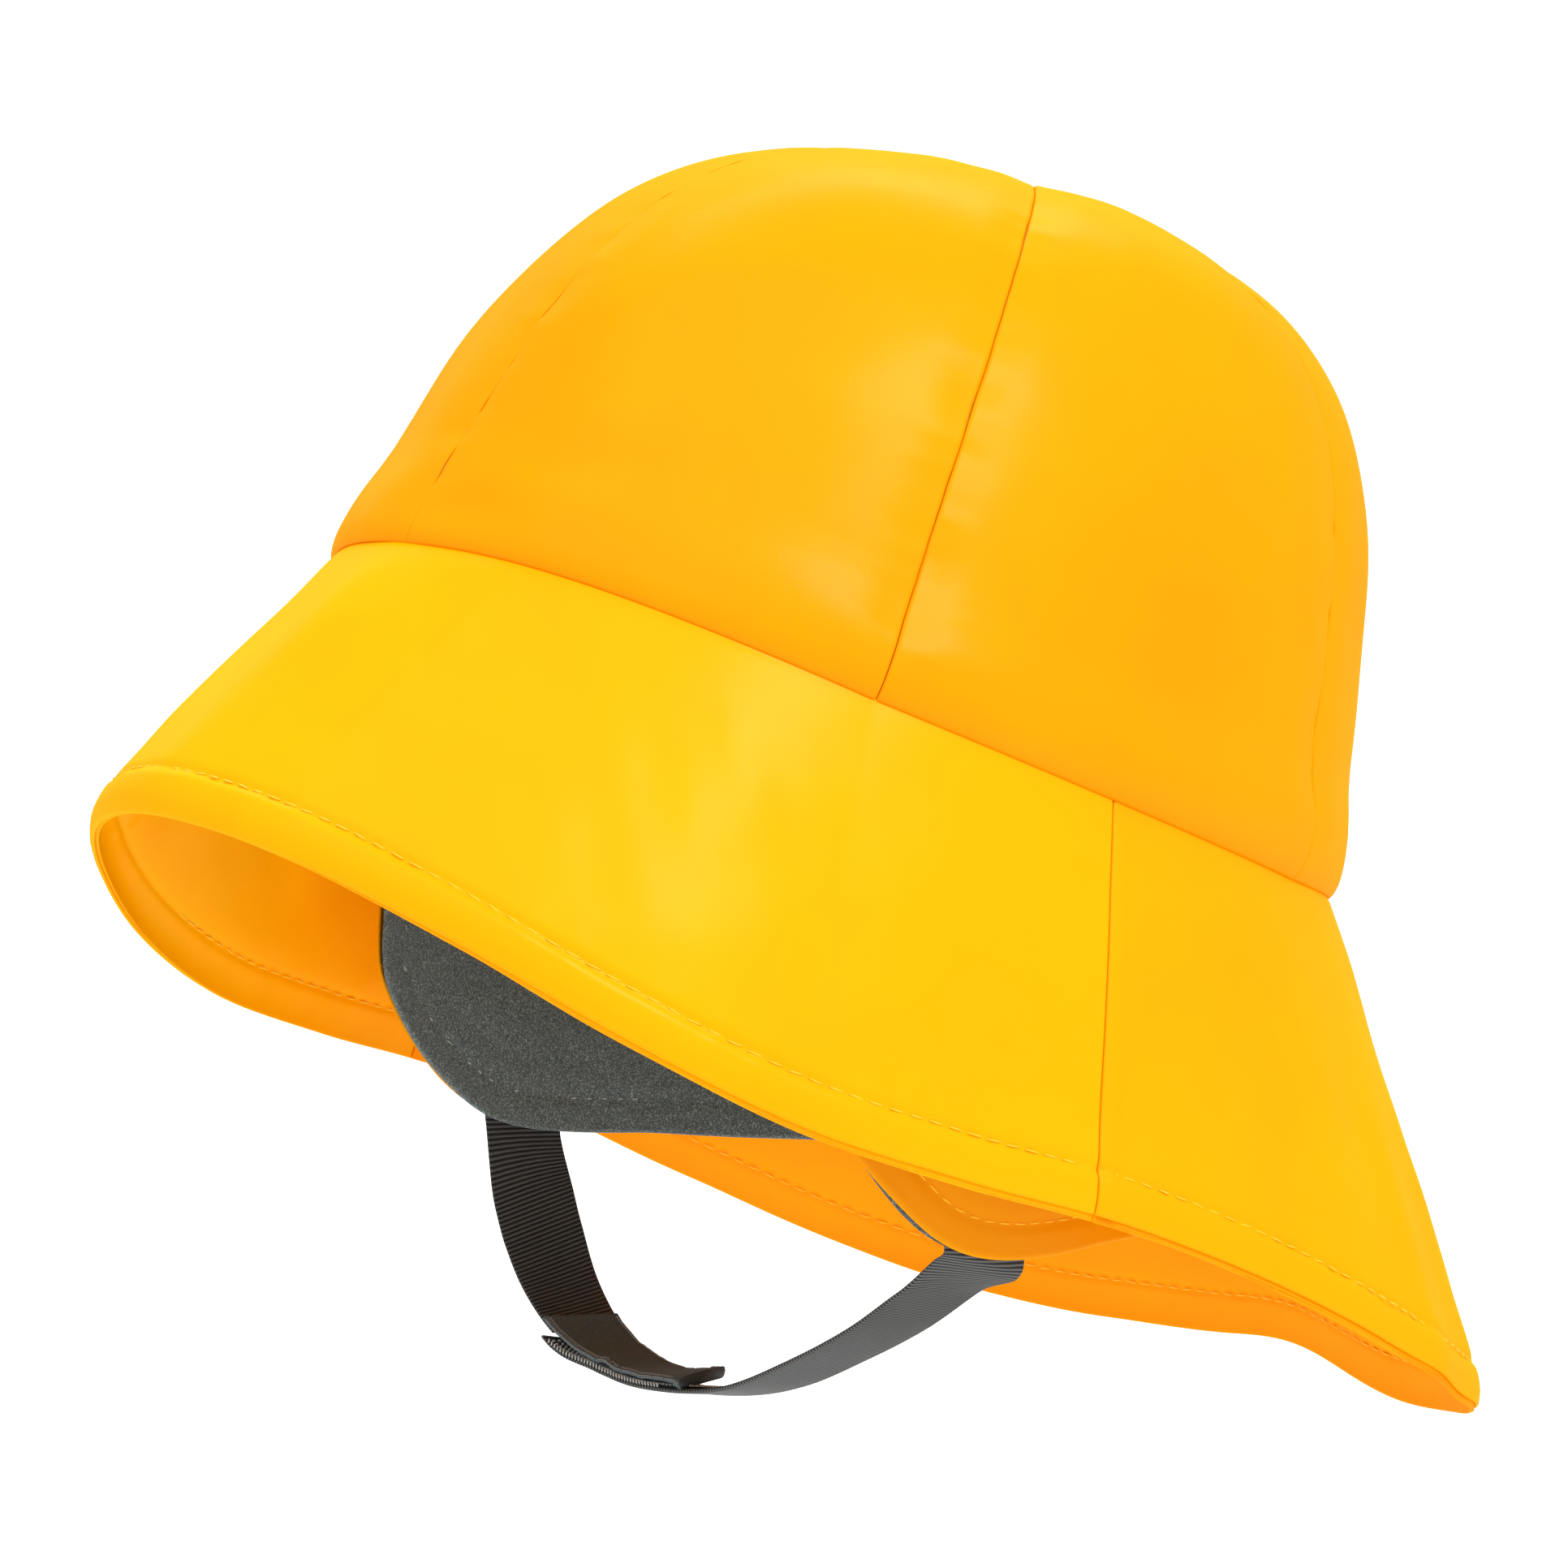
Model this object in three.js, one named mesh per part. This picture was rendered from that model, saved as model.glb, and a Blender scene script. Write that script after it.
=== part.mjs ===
// Child's sou'wester hat: six crown panels, a two layer brim with a long back,
// fleece lined ear flaps and a webbing chin strap closed with hook and loop tape.
// Millimetres and degrees. +Z is up as worn, the front of the hat faces -Y and the
// wearer's left is +X. The origin is the middle of the head opening at the crown seam.
import * as THREE from "three";

// Crown
const crownHalfLength = 97;
const crownHalfWidth = 82.5;
const crownHeight = 103;
const apexSetback = 12.5;
const crownTaper = 0.21;
const shoulderPower = 4.5;
const capPower = 2.63;
const crownWall = 1.2;
const panelPuff = 1.2;
const rollOut = 0.4;
const rollHeight = 11;
const apexEyelet = 1.1;
const seamFrontRise = 8.5;
const seamSaddle = 4;

// How far the hat is tipped back on the head
const wearTilt = 16.5;

// Brim
const brimReach = 30;
const brimDrop = 60;
const brimLayer = 1;
const brimSeamAngle = 87;
const seamTuck = 6;

// Ear flaps, which meet at the back of the neck
const flapDepth = 72.5;
const flapShell = 1;
const flapLining = 1.5;
const flapFrontAngle = 54;
const flapCornerAngle = 60.5;
const flapLean = 0.125;
const liningInset = 0.6;

// Chin strap and its hook and loop closure
const strapWidth = 17;
const strapThickness = 1;
const strapAngle = 91;
const strapSewn = 12;
const strapDrop = 0.8;
const strapExitSlant = 0.2;
const strapExitReach = 14;
const strapLevel = 2.04;
const strapSag = 38.7;
const tapeThickness = 1;
const loopTapeWidth = 17.6;
const loopTapeLength = 41;
const loopTapeSlant = 0.65;
const loopTapeCurl = 3;
const closureFromFlap = 39.3;
const strapOverlap = 1.7;
const strapEndInset = 2;
const hookTapeShow = 4;

// Clearances
const layerGap = 0.3;
const pocketGap = 0.4;

// Mesh density: every sheet takes its columns from the same angles, so facets nest
const angleStep = 6;
const crownRows = 11;
const ribbonStep = 5;

// Brim sections from the front to the back, the same on both sides.
// out and bow are shares of brimReach, drop is a share of brimDrop below the crown seam.
const brimSections = [
  { angle: 0, out: 1.05, drop: 0.9, bow: 0.1 },
  { angle: 15, out: 0.99, drop: 0.93, bow: 0.1 },
  { angle: 30, out: 0.86, drop: 1.01, bow: 0.1 },
  { angle: 45, out: 0.73, drop: 1.1, bow: 0.08 },
  { angle: 60, out: 0.62, drop: 1.15, bow: 0.05 },
  { angle: 75, out: 0.56, drop: 1.13, bow: 0.03 },
  { angle: 90, out: 0.62, drop: 1.1, bow: 0.02 },
  { angle: 105, out: 0.85, drop: 1.133, bow: 0.02 },
  { angle: 120, out: 1.18, drop: 1.226, bow: 0.03 },
  { angle: 135, out: 1.41, drop: 1.34, bow: 0.05 },
  { angle: 150, out: 1.42, drop: 1.396, bow: 0.05 },
  { angle: 165, out: 1.225, drop: 1.38, bow: 0.04 },
  { angle: 180, out: 1.173, drop: 1.336, bow: 0.03 },
];

// Rows of the brim as shares of the way from the crown seam to the rim.
const brimShares = [0, 0.18, 0.38, 0.58, 0.77, 0.91, 0.97, 1];

// Soft dents and swells of the two forms, each fading out over its spread.
// angle and spread are degrees, in is a share of panelPuff and lift a share of brimDrop.
const crownDents = [
  { angle: 146, height: 0.3, spread: 26, tall: 0.3, in: 0.9 },
  { angle: 214, height: 0.3, spread: 26, tall: 0.3, in: 0.5 },
  { angle: 330, height: 0.93, spread: 40, tall: 0.12, in: -0.7 },
  { angle: 8, height: 0.07, spread: 9, tall: 0.05, in: 0.8 },
];
const brimFolds = [
  { angle: 140, spread: 8, lift: 0.008 },
  { angle: 150, spread: 8, lift: 0.012 },
  { angle: 160, spread: 8, lift: -0.01 },
  { angle: 168, spread: 8, lift: 0.009 },
  { angle: 176, spread: 8, lift: 0.02 },
  { angle: 184, spread: 8, lift: -0.009 },
  { angle: 192, spread: 8, lift: 0.011 },
  { angle: 208, spread: 8, lift: 0.007 },
];

// Lower edge of an ear flap from its front corner to the back of the neck.
// left and right are shares of flapDepth below the crown seam; the left flap hangs a
// little lower in front.
const flapSections = [
  { angle: 60.5, left: 0.8, right: 0.79 },
  { angle: 67, left: 0.89, right: 0.865 },
  { angle: 73.5, left: 0.97, right: 0.93 },
  { angle: 79.5, left: 1.025, right: 0.975 },
  { angle: 85, left: 1.045, right: 1 },
  { angle: 91, left: 1.036, right: 0.993 },
  { angle: 97, left: 1.002, right: 0.97 },
  { angle: 102, left: 0.966, right: 0.945 },
  { angle: 108, left: 0.925, right: 0.915 },
  { angle: 120, left: 0.87, right: 0.87 },
  { angle: 135, left: 0.82, right: 0.82 },
  { angle: 150, left: 0.785, right: 0.785 },
  { angle: 165, left: 0.765, right: 0.765 },
  { angle: 180, left: 0.76, right: 0.76 },
];

// The hanging strap seen from the front, from the left flap to the right flap.
// across is a share of half the distance between the flaps, sag is a share of strapSag
// below the strap's level. The first and last point are then moved to the flaps.
const strapRun = [
  { across: 1, sag: 0, turn: 0 },
  { across: 0.966, sag: 0.092, turn: 4 },
  { across: 0.839, sag: 0.208, turn: 5 },
  { across: 0.622, sag: 0.444, turn: 5 },
  { across: 0.371, sag: 0.668, turn: 5 },
  { across: 0.1, sag: 0.874, turn: 6 },
  { across: -0.158, sag: 0.982, turn: 10 },
  { across: -0.42, sag: 1.016, turn: 14 },
  { across: -0.662, sag: 0.918, turn: 10 },
  { across: -0.825, sag: 0.707, turn: 3.4 },
  { across: -0.907, sag: 0.478, turn: -3 },
  { across: -0.952, sag: 0.286, turn: -3.4 },
  { across: -0.978, sag: 0.137, turn: -2 },
  { across: -1, sag: 0, turn: 0 },
];

const finishes = {
  shell: new THREE.MeshStandardMaterial({ color: 0xf7b500, roughness: 0.42, metalness: 0 }),
  under: new THREE.MeshStandardMaterial({ color: 0xf0a000, roughness: 0.5, metalness: 0 }),
  fleece: new THREE.MeshStandardMaterial({ color: 0x565a57, roughness: 0.95, metalness: 0 }),
  webbing: new THREE.MeshStandardMaterial({ color: 0x55544f, roughness: 0.8, metalness: 0 }),
  tape: new THREE.MeshStandardMaterial({ color: 0x2e2e2c, roughness: 0.7, metalness: 0 }),
};

const radians = THREE.MathUtils.degToRad;
const clamp = THREE.MathUtils.clamp;
const lerp = THREE.MathUtils.lerp;
const smoothstep = THREE.MathUtils.smoothstep;
const up = new THREE.Vector3(0, 0, 1);

// Angles run from 0 at the front through 90 on the wearer's left to 180 at the back.

// A column of a table read at any angle by a cubic through its rows.
function tableValue(rows, column, angle) {
  const last = rows.length - 1;
  const index = clamp(rows.findIndex((row) => row.angle > angle) - 1, 0, last - 1);
  const start = angle >= rows[last].angle ? last - 1 : index;
  const span = rows[start + 1].angle - rows[start].angle;
  const share = clamp((angle - rows[start].angle) / span, 0, 1);
  const slope = (at) => {
    const before = rows[Math.max(at - 1, 0)];
    const after = rows[Math.min(at + 1, last)];
    return (after[column] - before[column]) / (after.angle - before.angle);
  };
  const a = rows[start][column];
  const b = rows[start + 1][column];
  const da = start === 0 ? 0 : slope(start) * span;
  const db = start + 1 === last ? 0 : slope(start + 1) * span;
  const s2 = share * share;
  const s3 = s2 * share;
  const fromStart = a * (2 * s3 - 3 * s2 + 1) + da * (s3 - 2 * s2 + share);
  return fromStart + b * (3 * s2 - 2 * s3) + db * (s3 - s2);
}

// The angle folded onto the left half of the hat, 0 to 180.
function foldedAngle(angle) {
  const turn = ((angle % 360) + 360) % 360;
  return turn > 180 ? 360 - turn : turn;
}

function seamHeight(angle) {
  return seamFrontRise * Math.cos(radians(angle)) + seamSaddle * Math.cos(radians(2 * angle));
}

// Share of the plan size left at a height share above the seam.
function planShare(height) {
  const h = clamp(height, 0, 1);
  return (1 - crownTaper * h) * Math.pow(1 - Math.pow(h, shoulderPower), 1 / capPower);
}

function crownBase(angle, height) {
  const plan = planShare(height);
  return new THREE.Vector3(
    crownHalfWidth * Math.sin(radians(angle)) * plan,
    -crownHalfLength * Math.cos(radians(angle)) * plan + apexSetback * height,
    seamHeight(angle) * (1 - height) + crownHeight * height,
  );
}

// Unit normal of a surface given as a function of an angle and a second value.
function normalOf(surface, angle, value, low, high) {
  const step = 1e-4;
  const below = surface(angle, Math.max(value - step, low));
  const above = surface(angle, Math.min(value + step, high));
  const around = surface(angle + 0.2, value).sub(surface(angle - 0.2, value));
  return around.cross(above.sub(below)).normalize();
}

function crownNormal(angle, height) {
  return normalOf(crownBase, angle, Math.min(height, 0.9995), 0, 0.9999);
}

// How much of a dent or fold is left at an angle: 1 in its middle, fading over its spread.
function angleFade(angle, fold) {
  const away = ((angle - fold.angle + 540) % 360) - 180;
  return Math.exp(-((away / fold.spread) ** 2));
}

// Panels puff out between their seams and roll over just above the brim seam.
function crownRelief(angle, height) {
  const across = (((angle % 60) + 60) % 60) / 60;
  const puff = panelPuff * (Math.sin(Math.PI * across) - 0.75) * planShare(height);
  const roll = Math.sin(Math.PI * clamp((height * crownHeight) / (2 * rollHeight), 0, 1));
  const dents = crownDents.map((dent) => {
    const fade = angleFade(angle, dent) * Math.exp(-(((height - dent.height) / dent.tall) ** 2));
    return dent.in * fade;
  });
  return puff + rollOut * roll - panelPuff * dents.reduce((sum, dent) => sum + dent, 0);
}

function crownFace(angle, height, depth) {
  const normal = crownNormal(angle, height);
  return crownBase(angle, height).addScaledVector(normal, crownRelief(angle, height) - depth);
}

// Depths of the layers that are sewn together at the crown seam, from outside to inside.
const upperBrimDepth = crownWall + layerGap;
const underBrimDepth = upperBrimDepth + brimLayer + layerGap;
const flapShellDepth = underBrimDepth + brimLayer + layerGap;
const flapLiningDepth = flapShellDepth + flapShell + layerGap;
const tuckHeight = seamTuck / crownHeight;

function brimBase(angle, share) {
  const side = foldedAngle(angle);
  const root = crownFace(angle, 0, upperBrimDepth);
  const out = brimReach * tableValue(brimSections, "out", side);
  const lift = brimFolds.reduce((sum, fold) => sum + fold.lift * angleFade(angle, fold), 0);
  const drop = brimDrop * (tableValue(brimSections, "drop", side) - lift);
  const rim = new THREE.Vector3(
    (crownHalfWidth + out) * Math.sin(radians(angle)),
    -(crownHalfLength + out) * Math.cos(radians(angle)),
    seamHeight(angle) - drop,
  );
  const point = root.lerp(rim, share);
  const bulge = share ** 0.6 * (1 - share ** 20);
  const bow = brimReach * tableValue(brimSections, "bow", side) * bulge;
  point.x += bow * Math.sin(radians(angle));
  point.y -= bow * Math.cos(radians(angle));
  point.z += bow * 0.6;
  return point;
}

function brimNormal(angle, share) {
  return normalOf(brimBase, angle, share, 0, 1).negate();
}

// Row 0 is the top of the tuck, row 1 lies at the seam and the last row is the rim.
function brimFace(angle, row, depth) {
  if (row === 0) {
    return crownFace(angle, tuckHeight, upperBrimDepth + depth);
  }
  const share = brimShares[row - 1];
  const normal = brimNormal(angle, share);
  if (row > 1) {
    return brimBase(angle, share).addScaledVector(normal, -depth);
  }
  const mitre = normal.clone().add(crownNormal(angle, 0)).normalize();
  return brimBase(angle, 0).addScaledVector(mitre, -depth / mitre.dot(normal));
}

// The hanging sheet of an ear flap: fall is the distance below the crown seam.
function flapFace(angle, fall, depth) {
  if (fall < 0) {
    return crownFace(angle, tuckHeight * (-fall / seamTuck), depth);
  }
  const outward = crownNormal(angle, 0).setZ(0).normalize();
  const seam = crownFace(angle, 0, depth);
  return seam.addScaledVector(up, -fall).addScaledVector(outward, -flapLean * fall);
}

function flapFall(angle, sideSign) {
  const name = sideSign > 0 ? "left" : "right";
  return flapDepth * tableValue(flapSections, name, foldedAngle(angle));
}

const flapMiddleDepth = (flapShellDepth + flapShell + flapLiningDepth) / 2;
const pocketHalf = strapThickness / 2 + pocketGap - layerGap / 2;
const arcPerDegree = flapFace(strapAngle + 0.5, flapDepth, flapMiddleDepth)
  .distanceTo(flapFace(strapAngle - 0.5, flapDepth, flapMiddleDepth));

// The shell and lining part around the end of the strap that is sewn in between them.
function pocketOpening(angle, share) {
  const away = Math.abs(foldedAngle(angle) - strapAngle) * arcPerDegree;
  const reach = strapWidth / 2 + angleStep * arcPerDegree;
  const across = 1 - smoothstep(away, reach, reach * 1.6);
  return pocketHalf * across * smoothstep(share, 0.62, 0.78);
}

// Closed sheet between two faces given as functions of a row and a column.
function sheet(name, material, rowCount, columnCount, facePoint) {
  const positions = [];
  for (const side of [0, 1]) {
    for (let row = 0; row < rowCount; row += 1) {
      for (let column = 0; column < columnCount; column += 1) {
        positions.push(...facePoint(row, column, side).toArray());
      }
    }
  }
  const at = (side, row, column) => (side * rowCount + row) * columnCount + column;
  const faces = [];
  const quad = (a, b, c, d) => faces.push([a, b, c], [a, c, d]);
  const lastRow = rowCount - 1;
  const lastColumn = columnCount - 1;
  for (let row = 0; row < lastRow; row += 1) {
    for (let column = 0; column < lastColumn; column += 1) {
      const [low, high, next] = [row, row + 1, column + 1];
      quad(at(0, low, column), at(0, low, next), at(0, high, next), at(0, high, column));
      faces.push([at(1, low, column), at(1, high, next), at(1, low, next)]);
      faces.push([at(1, low, column), at(1, high, column), at(1, high, next)]);
    }
  }
  // The strip that joins the two faces along an edge, from one of its points to the next.
  const join = (row, column, nextRow, nextColumn) => {
    const near = at(0, row, column);
    const far = at(0, nextRow, nextColumn);
    quad(near, far, at(1, nextRow, nextColumn), at(1, row, column));
  };
  for (let column = 0; column < lastColumn; column += 1) {
    join(0, column + 1, 0, column);
    join(lastRow, column, lastRow, column + 1);
  }
  for (let row = 0; row < lastRow; row += 1) {
    join(row, 0, row + 1, 0);
    join(row + 1, lastColumn, row, lastColumn);
  }
  const corner = (index) => new THREE.Vector3().fromArray(positions, index * 3);
  const wedge = ([a, b, c]) => corner(a).dot(corner(b).cross(corner(c))) / 6;
  const volume = faces.reduce((sum, face) => sum + wedge(face), 0);
  const outward = volume > 0 ? faces : faces.map(([a, b, c]) => [a, c, b]);
  const geometry = new THREE.BufferGeometry();
  geometry.setAttribute("position", new THREE.Float32BufferAttribute(positions, 3));
  geometry.setIndex(outward.flat());
  geometry.computeVertexNormals();
  const mesh = new THREE.Mesh(geometry, material);
  mesh.name = name;
  return mesh;
}

// Angles of a sheet's columns: its two ends, and every multiple of the step between them.
function columnAngles(from, to) {
  const angles = [from];
  const first = Math.ceil((from + angleStep / 6) / angleStep) * angleStep;
  for (let angle = first; angle < to - angleStep / 6; angle += angleStep) {
    angles.push(angle);
  }
  angles.push(to);
  return angles;
}

// Heights of the crown's rows: the tuck zone, then equal steps along the profile.
function crownHeights() {
  const samples = 400;
  const profile = (height) => [planShare(height) * crownHalfLength, height * crownHeight];
  const topPlan = apexEyelet / crownHalfWidth / (1 - crownTaper);
  const top = Math.pow(1 - Math.pow(topPlan, capPower), 1 / shoulderPower);
  const start = 2 * tuckHeight;
  const walk = [{ height: start, length: 0 }];
  for (let index = 1; index <= samples; index += 1) {
    const share = 1 - (1 - index / samples) ** 3;
    const height = lerp(start, top, share);
    const [x0, z0] = profile(walk[index - 1].height);
    const [x1, z1] = profile(height);
    walk.push({ height, length: walk[index - 1].length + Math.hypot(x1 - x0, z1 - z0) });
  }
  const total = walk[samples].length;
  const heights = [0, tuckHeight];
  for (let row = 0; row <= crownRows; row += 1) {
    const wanted = (total * row) / crownRows;
    const found = walk.find((step) => step.length >= wanted - 1e-9);
    heights.push(found.height);
  }
  return heights;
}

function crownPanel(name, from, to) {
  const heights = crownHeights();
  const angles = columnAngles(from, to);
  const last = angles.length - 1;
  return sheet(name, finishes.shell, heights.length, angles.length, (row, column, side) => {
    const height = heights[row];
    const middle = (from + to) / 2;
    const arc = crownBase(middle + 0.5, height).distanceTo(crownBase(middle - 0.5, height));
    const inset = (layerGap / 2 / arc) * (column === 0 ? 1 : -1);
    const share = (angles[column] - from) / (to - from);
    const trim = Math.abs(inset);
    const angle = column === 0 || column === last
      ? angles[column] + inset
      : lerp(from + trim, to - trim, share);
    return crownFace(angle, height, side * crownWall);
  });
}

function brimPiece(name, material, from, to, layerDepth) {
  const angles = columnAngles(from, to);
  const last = angles.length - 1;
  const arc = brimBase(from + 0.5, 0.5).distanceTo(brimBase(from - 0.5, 0.5));
  const inset = layerGap / 2 / arc;
  return sheet(name, material, brimShares.length + 1, angles.length, (row, column, side) => {
    const shift = column === 0 ? inset : column === last ? -inset : 0;
    return brimFace(angles[column] + shift, row, layerDepth + side * brimLayer);
  });
}

const flapShares = [-1, 0, 0.22, 0.43, 0.62, 0.78, 1];

// sideSign is 1 for the wearer's left and -1 for the right. open is the way the layer
// parts from the other one around the strap, inset is how far its edge stays back.
function earFlap(name, material, sideSign, depth, wall, open, inset) {
  const angles = columnAngles(flapFrontAngle, 180);
  const last = angles.length - 1;
  const turn = inset / arcPerDegree;
  return sheet(name, material, flapShares.length, angles.length, (row, column, side) => {
    const share = flapShares[row];
    const along = (angles[column] - flapFrontAngle) / (180 - flapFrontAngle);
    const lowAngle = lerp(flapCornerAngle, 180, along);
    const ends = column === 0 ? turn : column === last ? -layerGap / 2 / arcPerDegree : 0;
    const angle = lerp(angles[column], lowAngle, clamp(share, 0, 1)) + ends;
    const fall = share < 0 ? -seamTuck : share * (flapFall(lowAngle, sideSign) - inset);
    const opening = open * pocketOpening(angle, share);
    return flapFace(sideSign * angle, fall, depth + opening + side * wall);
  });
}

// Turns a point of the untilted hat into the frame in which the strap hangs.
function worn(point) {
  return point.applyAxisAngle(new THREE.Vector3(1, 0, 0), -radians(wearTilt));
}

// A point of the sewn end of a strap: sideways and downwards are measured as worn.
function sewnPoint(sideSign, sideways, downwards, depth) {
  const tilt = radians(wearTilt);
  const along = sideways * Math.cos(tilt) + downwards * Math.sin(tilt);
  const fall = downwards * Math.cos(tilt) - sideways * Math.sin(tilt);
  const angle = strapAngle + along / arcPerDegree;
  return worn(flapFace(sideSign * angle, flapFall(strapAngle, sideSign) + fall, depth));
}

// The route of the hanging strap, worked out between the two flaps.
const leftEnd = sewnPoint(1, 0, strapDrop, flapMiddleDepth);
const rightEnd = sewnPoint(-1, 0, strapDrop, flapMiddleDepth);
const halfSpan = (leftEnd.x - rightEnd.x) / 2;
const runKnots = strapRun.map((row) => {
  const forward = lerp(leftEnd.y, rightEnd.y, (1 - row.across) / 2);
  return new THREE.Vector3(row.across * halfSpan, forward, leftEnd.z + strapLevel - row.sag * strapSag);
});
runKnots[0].copy(leftEnd);
runKnots[runKnots.length - 1].copy(rightEnd);
const runCurve = new THREE.CatmullRomCurve3(runKnots, false, "centripetal");
runCurve.arcLengthDivisions = 400;
const runLength = runCurve.getLength();

function turnAt(share) {
  const place = share * (strapRun.length - 1);
  const index = Math.min(Math.floor(place), strapRun.length - 2);
  return lerp(strapRun[index].turn, strapRun[index + 1].turn, place - index);
}

// A point of the run: arc from the left flap, offset towards the head, sideways share.
function runPoint(arc, offset, sideways) {
  const share = clamp(arc / runLength, 0, 1);
  const centre = runCurve.getPointAt(share);
  const tangent = runCurve.getTangentAt(share);
  const across = new THREE.Vector3(0, 1, 0);
  const inward = across.clone().cross(tangent).normalize();
  const turn = radians(turnAt(runCurve.getUtoTmapping(share)));
  across.applyAxisAngle(tangent, turn);
  inward.applyAxisAngle(tangent, turn);
  return centre.addScaledVector(across, sideways).addScaledVector(inward, offset);
}

const sidewaysShares = [-1, -1 / 3, 1 / 3, 1];

function ribbon(name, material, stations, width, thickness, stationPoint) {
  return sheet(name, material, stations.length, sidewaysShares.length, (row, column, side) => {
    const offset = side === 0 ? -thickness / 2 : thickness / 2;
    return stationPoint(stations[row], (sidewaysShares[column] * width) / 2, offset);
  });
}

// Arc positions from one place of the run to another in steps of about ribbonStep.
function arcStations(from, to) {
  const steps = Math.max(2, Math.round(Math.abs(to - from) / ribbonStep));
  return Array.from({ length: steps + 1 }, (_, index) => lerp(from, to, index / steps));
}

const loopTapeStart = runLength - closureFromFlap;
const loopTapeEnd = loopTapeStart - loopTapeLength;
const leftStrapEnd = loopTapeStart - strapEndInset;
const hookOffset = strapThickness / 2 + layerGap + tapeThickness / 2;
const loopOffset = hookOffset + tapeThickness + layerGap;
const rightStrapOffset = loopOffset - tapeThickness / 2 - layerGap - strapThickness / 2;

const sewnStations = [-strapSewn, -strapSewn / 2, 0];

// sideSign is 1 for the wearer's left and -1 for the right. inwards is how far the strap
// stands off the run, towards the head, at a place along it.
function strap(name, sideSign, freeArcs, inwards) {
  const sewn = sewnStations.map((down) => ({ down }));
  const free = freeArcs.map((arc) => ({ arc }));
  const place = (station, sideways, offset) => {
    const slant = strapExitSlant * sideways;
    if (station.down !== undefined) {
      return sewnPoint(sideSign, sideways, station.down + slant, flapMiddleDepth + offset);
    }
    const point = runPoint(station.arc, offset + inwards(station.arc), sideways);
    const away = sideSign > 0 ? station.arc : runLength - station.arc;
    point.z -= slant * (1 - smoothstep(away, 0, strapExitReach));
    return point;
  };
  return ribbon(name, finishes.webbing, [...sewn, ...free], strapWidth, strapThickness, place);
}

// The left strap follows the run, the right one closes in over the hook tape.
function leftStrap() {
  return strap("chin_strap_left", 1, arcStations(0, leftStrapEnd), () => 0);
}

function rightStrap() {
  const arcs = arcStations(runLength, loopTapeStart - strapOverlap);
  const reach = closureFromFlap * 0.8;
  const closing = (arc) => rightStrapOffset * smoothstep(runLength - arc, 0, reach);
  return strap("chin_strap_right", -1, arcs, closing);
}

// The loop tape lies flush with the back edge of the straps. Towards its free end it
// slants across them and its back edge curls up.
function loopTape() {
  const forward = (loopTapeWidth - strapWidth) / 2;
  const place = (arc, sideways, offset) => {
    const share = (loopTapeStart - arc) / loopTapeLength;
    const curl = loopTapeCurl * share ** 2 * (sideways / loopTapeWidth + 0.5);
    const slant = loopTapeSlant * share * sideways;
    return runPoint(arc + slant, loopOffset + offset + curl, sideways - forward);
  };
  const arcs = arcStations(loopTapeStart, loopTapeEnd);
  return ribbon("loop_tape", finishes.tape, arcs, loopTapeWidth, tapeThickness, place);
}

function hookTape() {
  const arcs = arcStations(leftStrapEnd - layerGap, loopTapeEnd - hookTapeShow);
  const place = (arc, sideways, offset) => runPoint(arc, hookOffset + offset, sideways);
  return ribbon("hook_tape", finishes.tape, arcs, strapWidth, tapeThickness, place);
}

const hat = new THREE.Group();
hat.rotation.x = -radians(wearTilt);

const panelNames = [
  "crown_panel_front_left",
  "crown_panel_side_left",
  "crown_panel_back_left",
  "crown_panel_back_right",
  "crown_panel_side_right",
  "crown_panel_front_right",
];
const panelAngle = 360 / panelNames.length;
panelNames.forEach((name, index) => {
  hat.add(crownPanel(name, index * panelAngle, (index + 1) * panelAngle));
});

const under = brimLayer + layerGap;
hat.add(brimPiece("brim_front_upper", finishes.shell, -brimSeamAngle, brimSeamAngle, 0));
hat.add(brimPiece("brim_front_under", finishes.under, -brimSeamAngle, brimSeamAngle, under));
hat.add(brimPiece("brim_back_upper", finishes.shell, brimSeamAngle, 360 - brimSeamAngle, 0));
hat.add(brimPiece("brim_back_under", finishes.under, brimSeamAngle, 360 - brimSeamAngle, under));

for (const [label, sideSign] of [["left", 1], ["right", -1]]) {
  const shell = `ear_flap_shell_${label}`;
  const lining = `ear_flap_lining_${label}`;
  hat.add(earFlap(shell, finishes.under, sideSign, flapShellDepth, flapShell, -1, 0));
  hat.add(earFlap(lining, finishes.fleece, sideSign, flapLiningDepth, flapLining, 1, liningInset));
}

const souwester = new THREE.Group();
souwester.add(hat, leftStrap(), rightStrap(), loopTape(), hookTape());

export default souwester;
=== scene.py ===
"""A child's sou'wester hat in coated yellow cloth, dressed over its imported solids.

Sizes inside the classes are millimetres and degrees, finished meshes are metres. Angles
run round the hat from 0 at the front through 90 at the wearer's left to 180 at the back.
"""
import logging
import math
from collections.abc import Callable
from dataclasses import dataclass, field
from enum import Enum

import bmesh
import bpy
import numpy as np
from mathutils import Matrix, Vector


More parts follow.
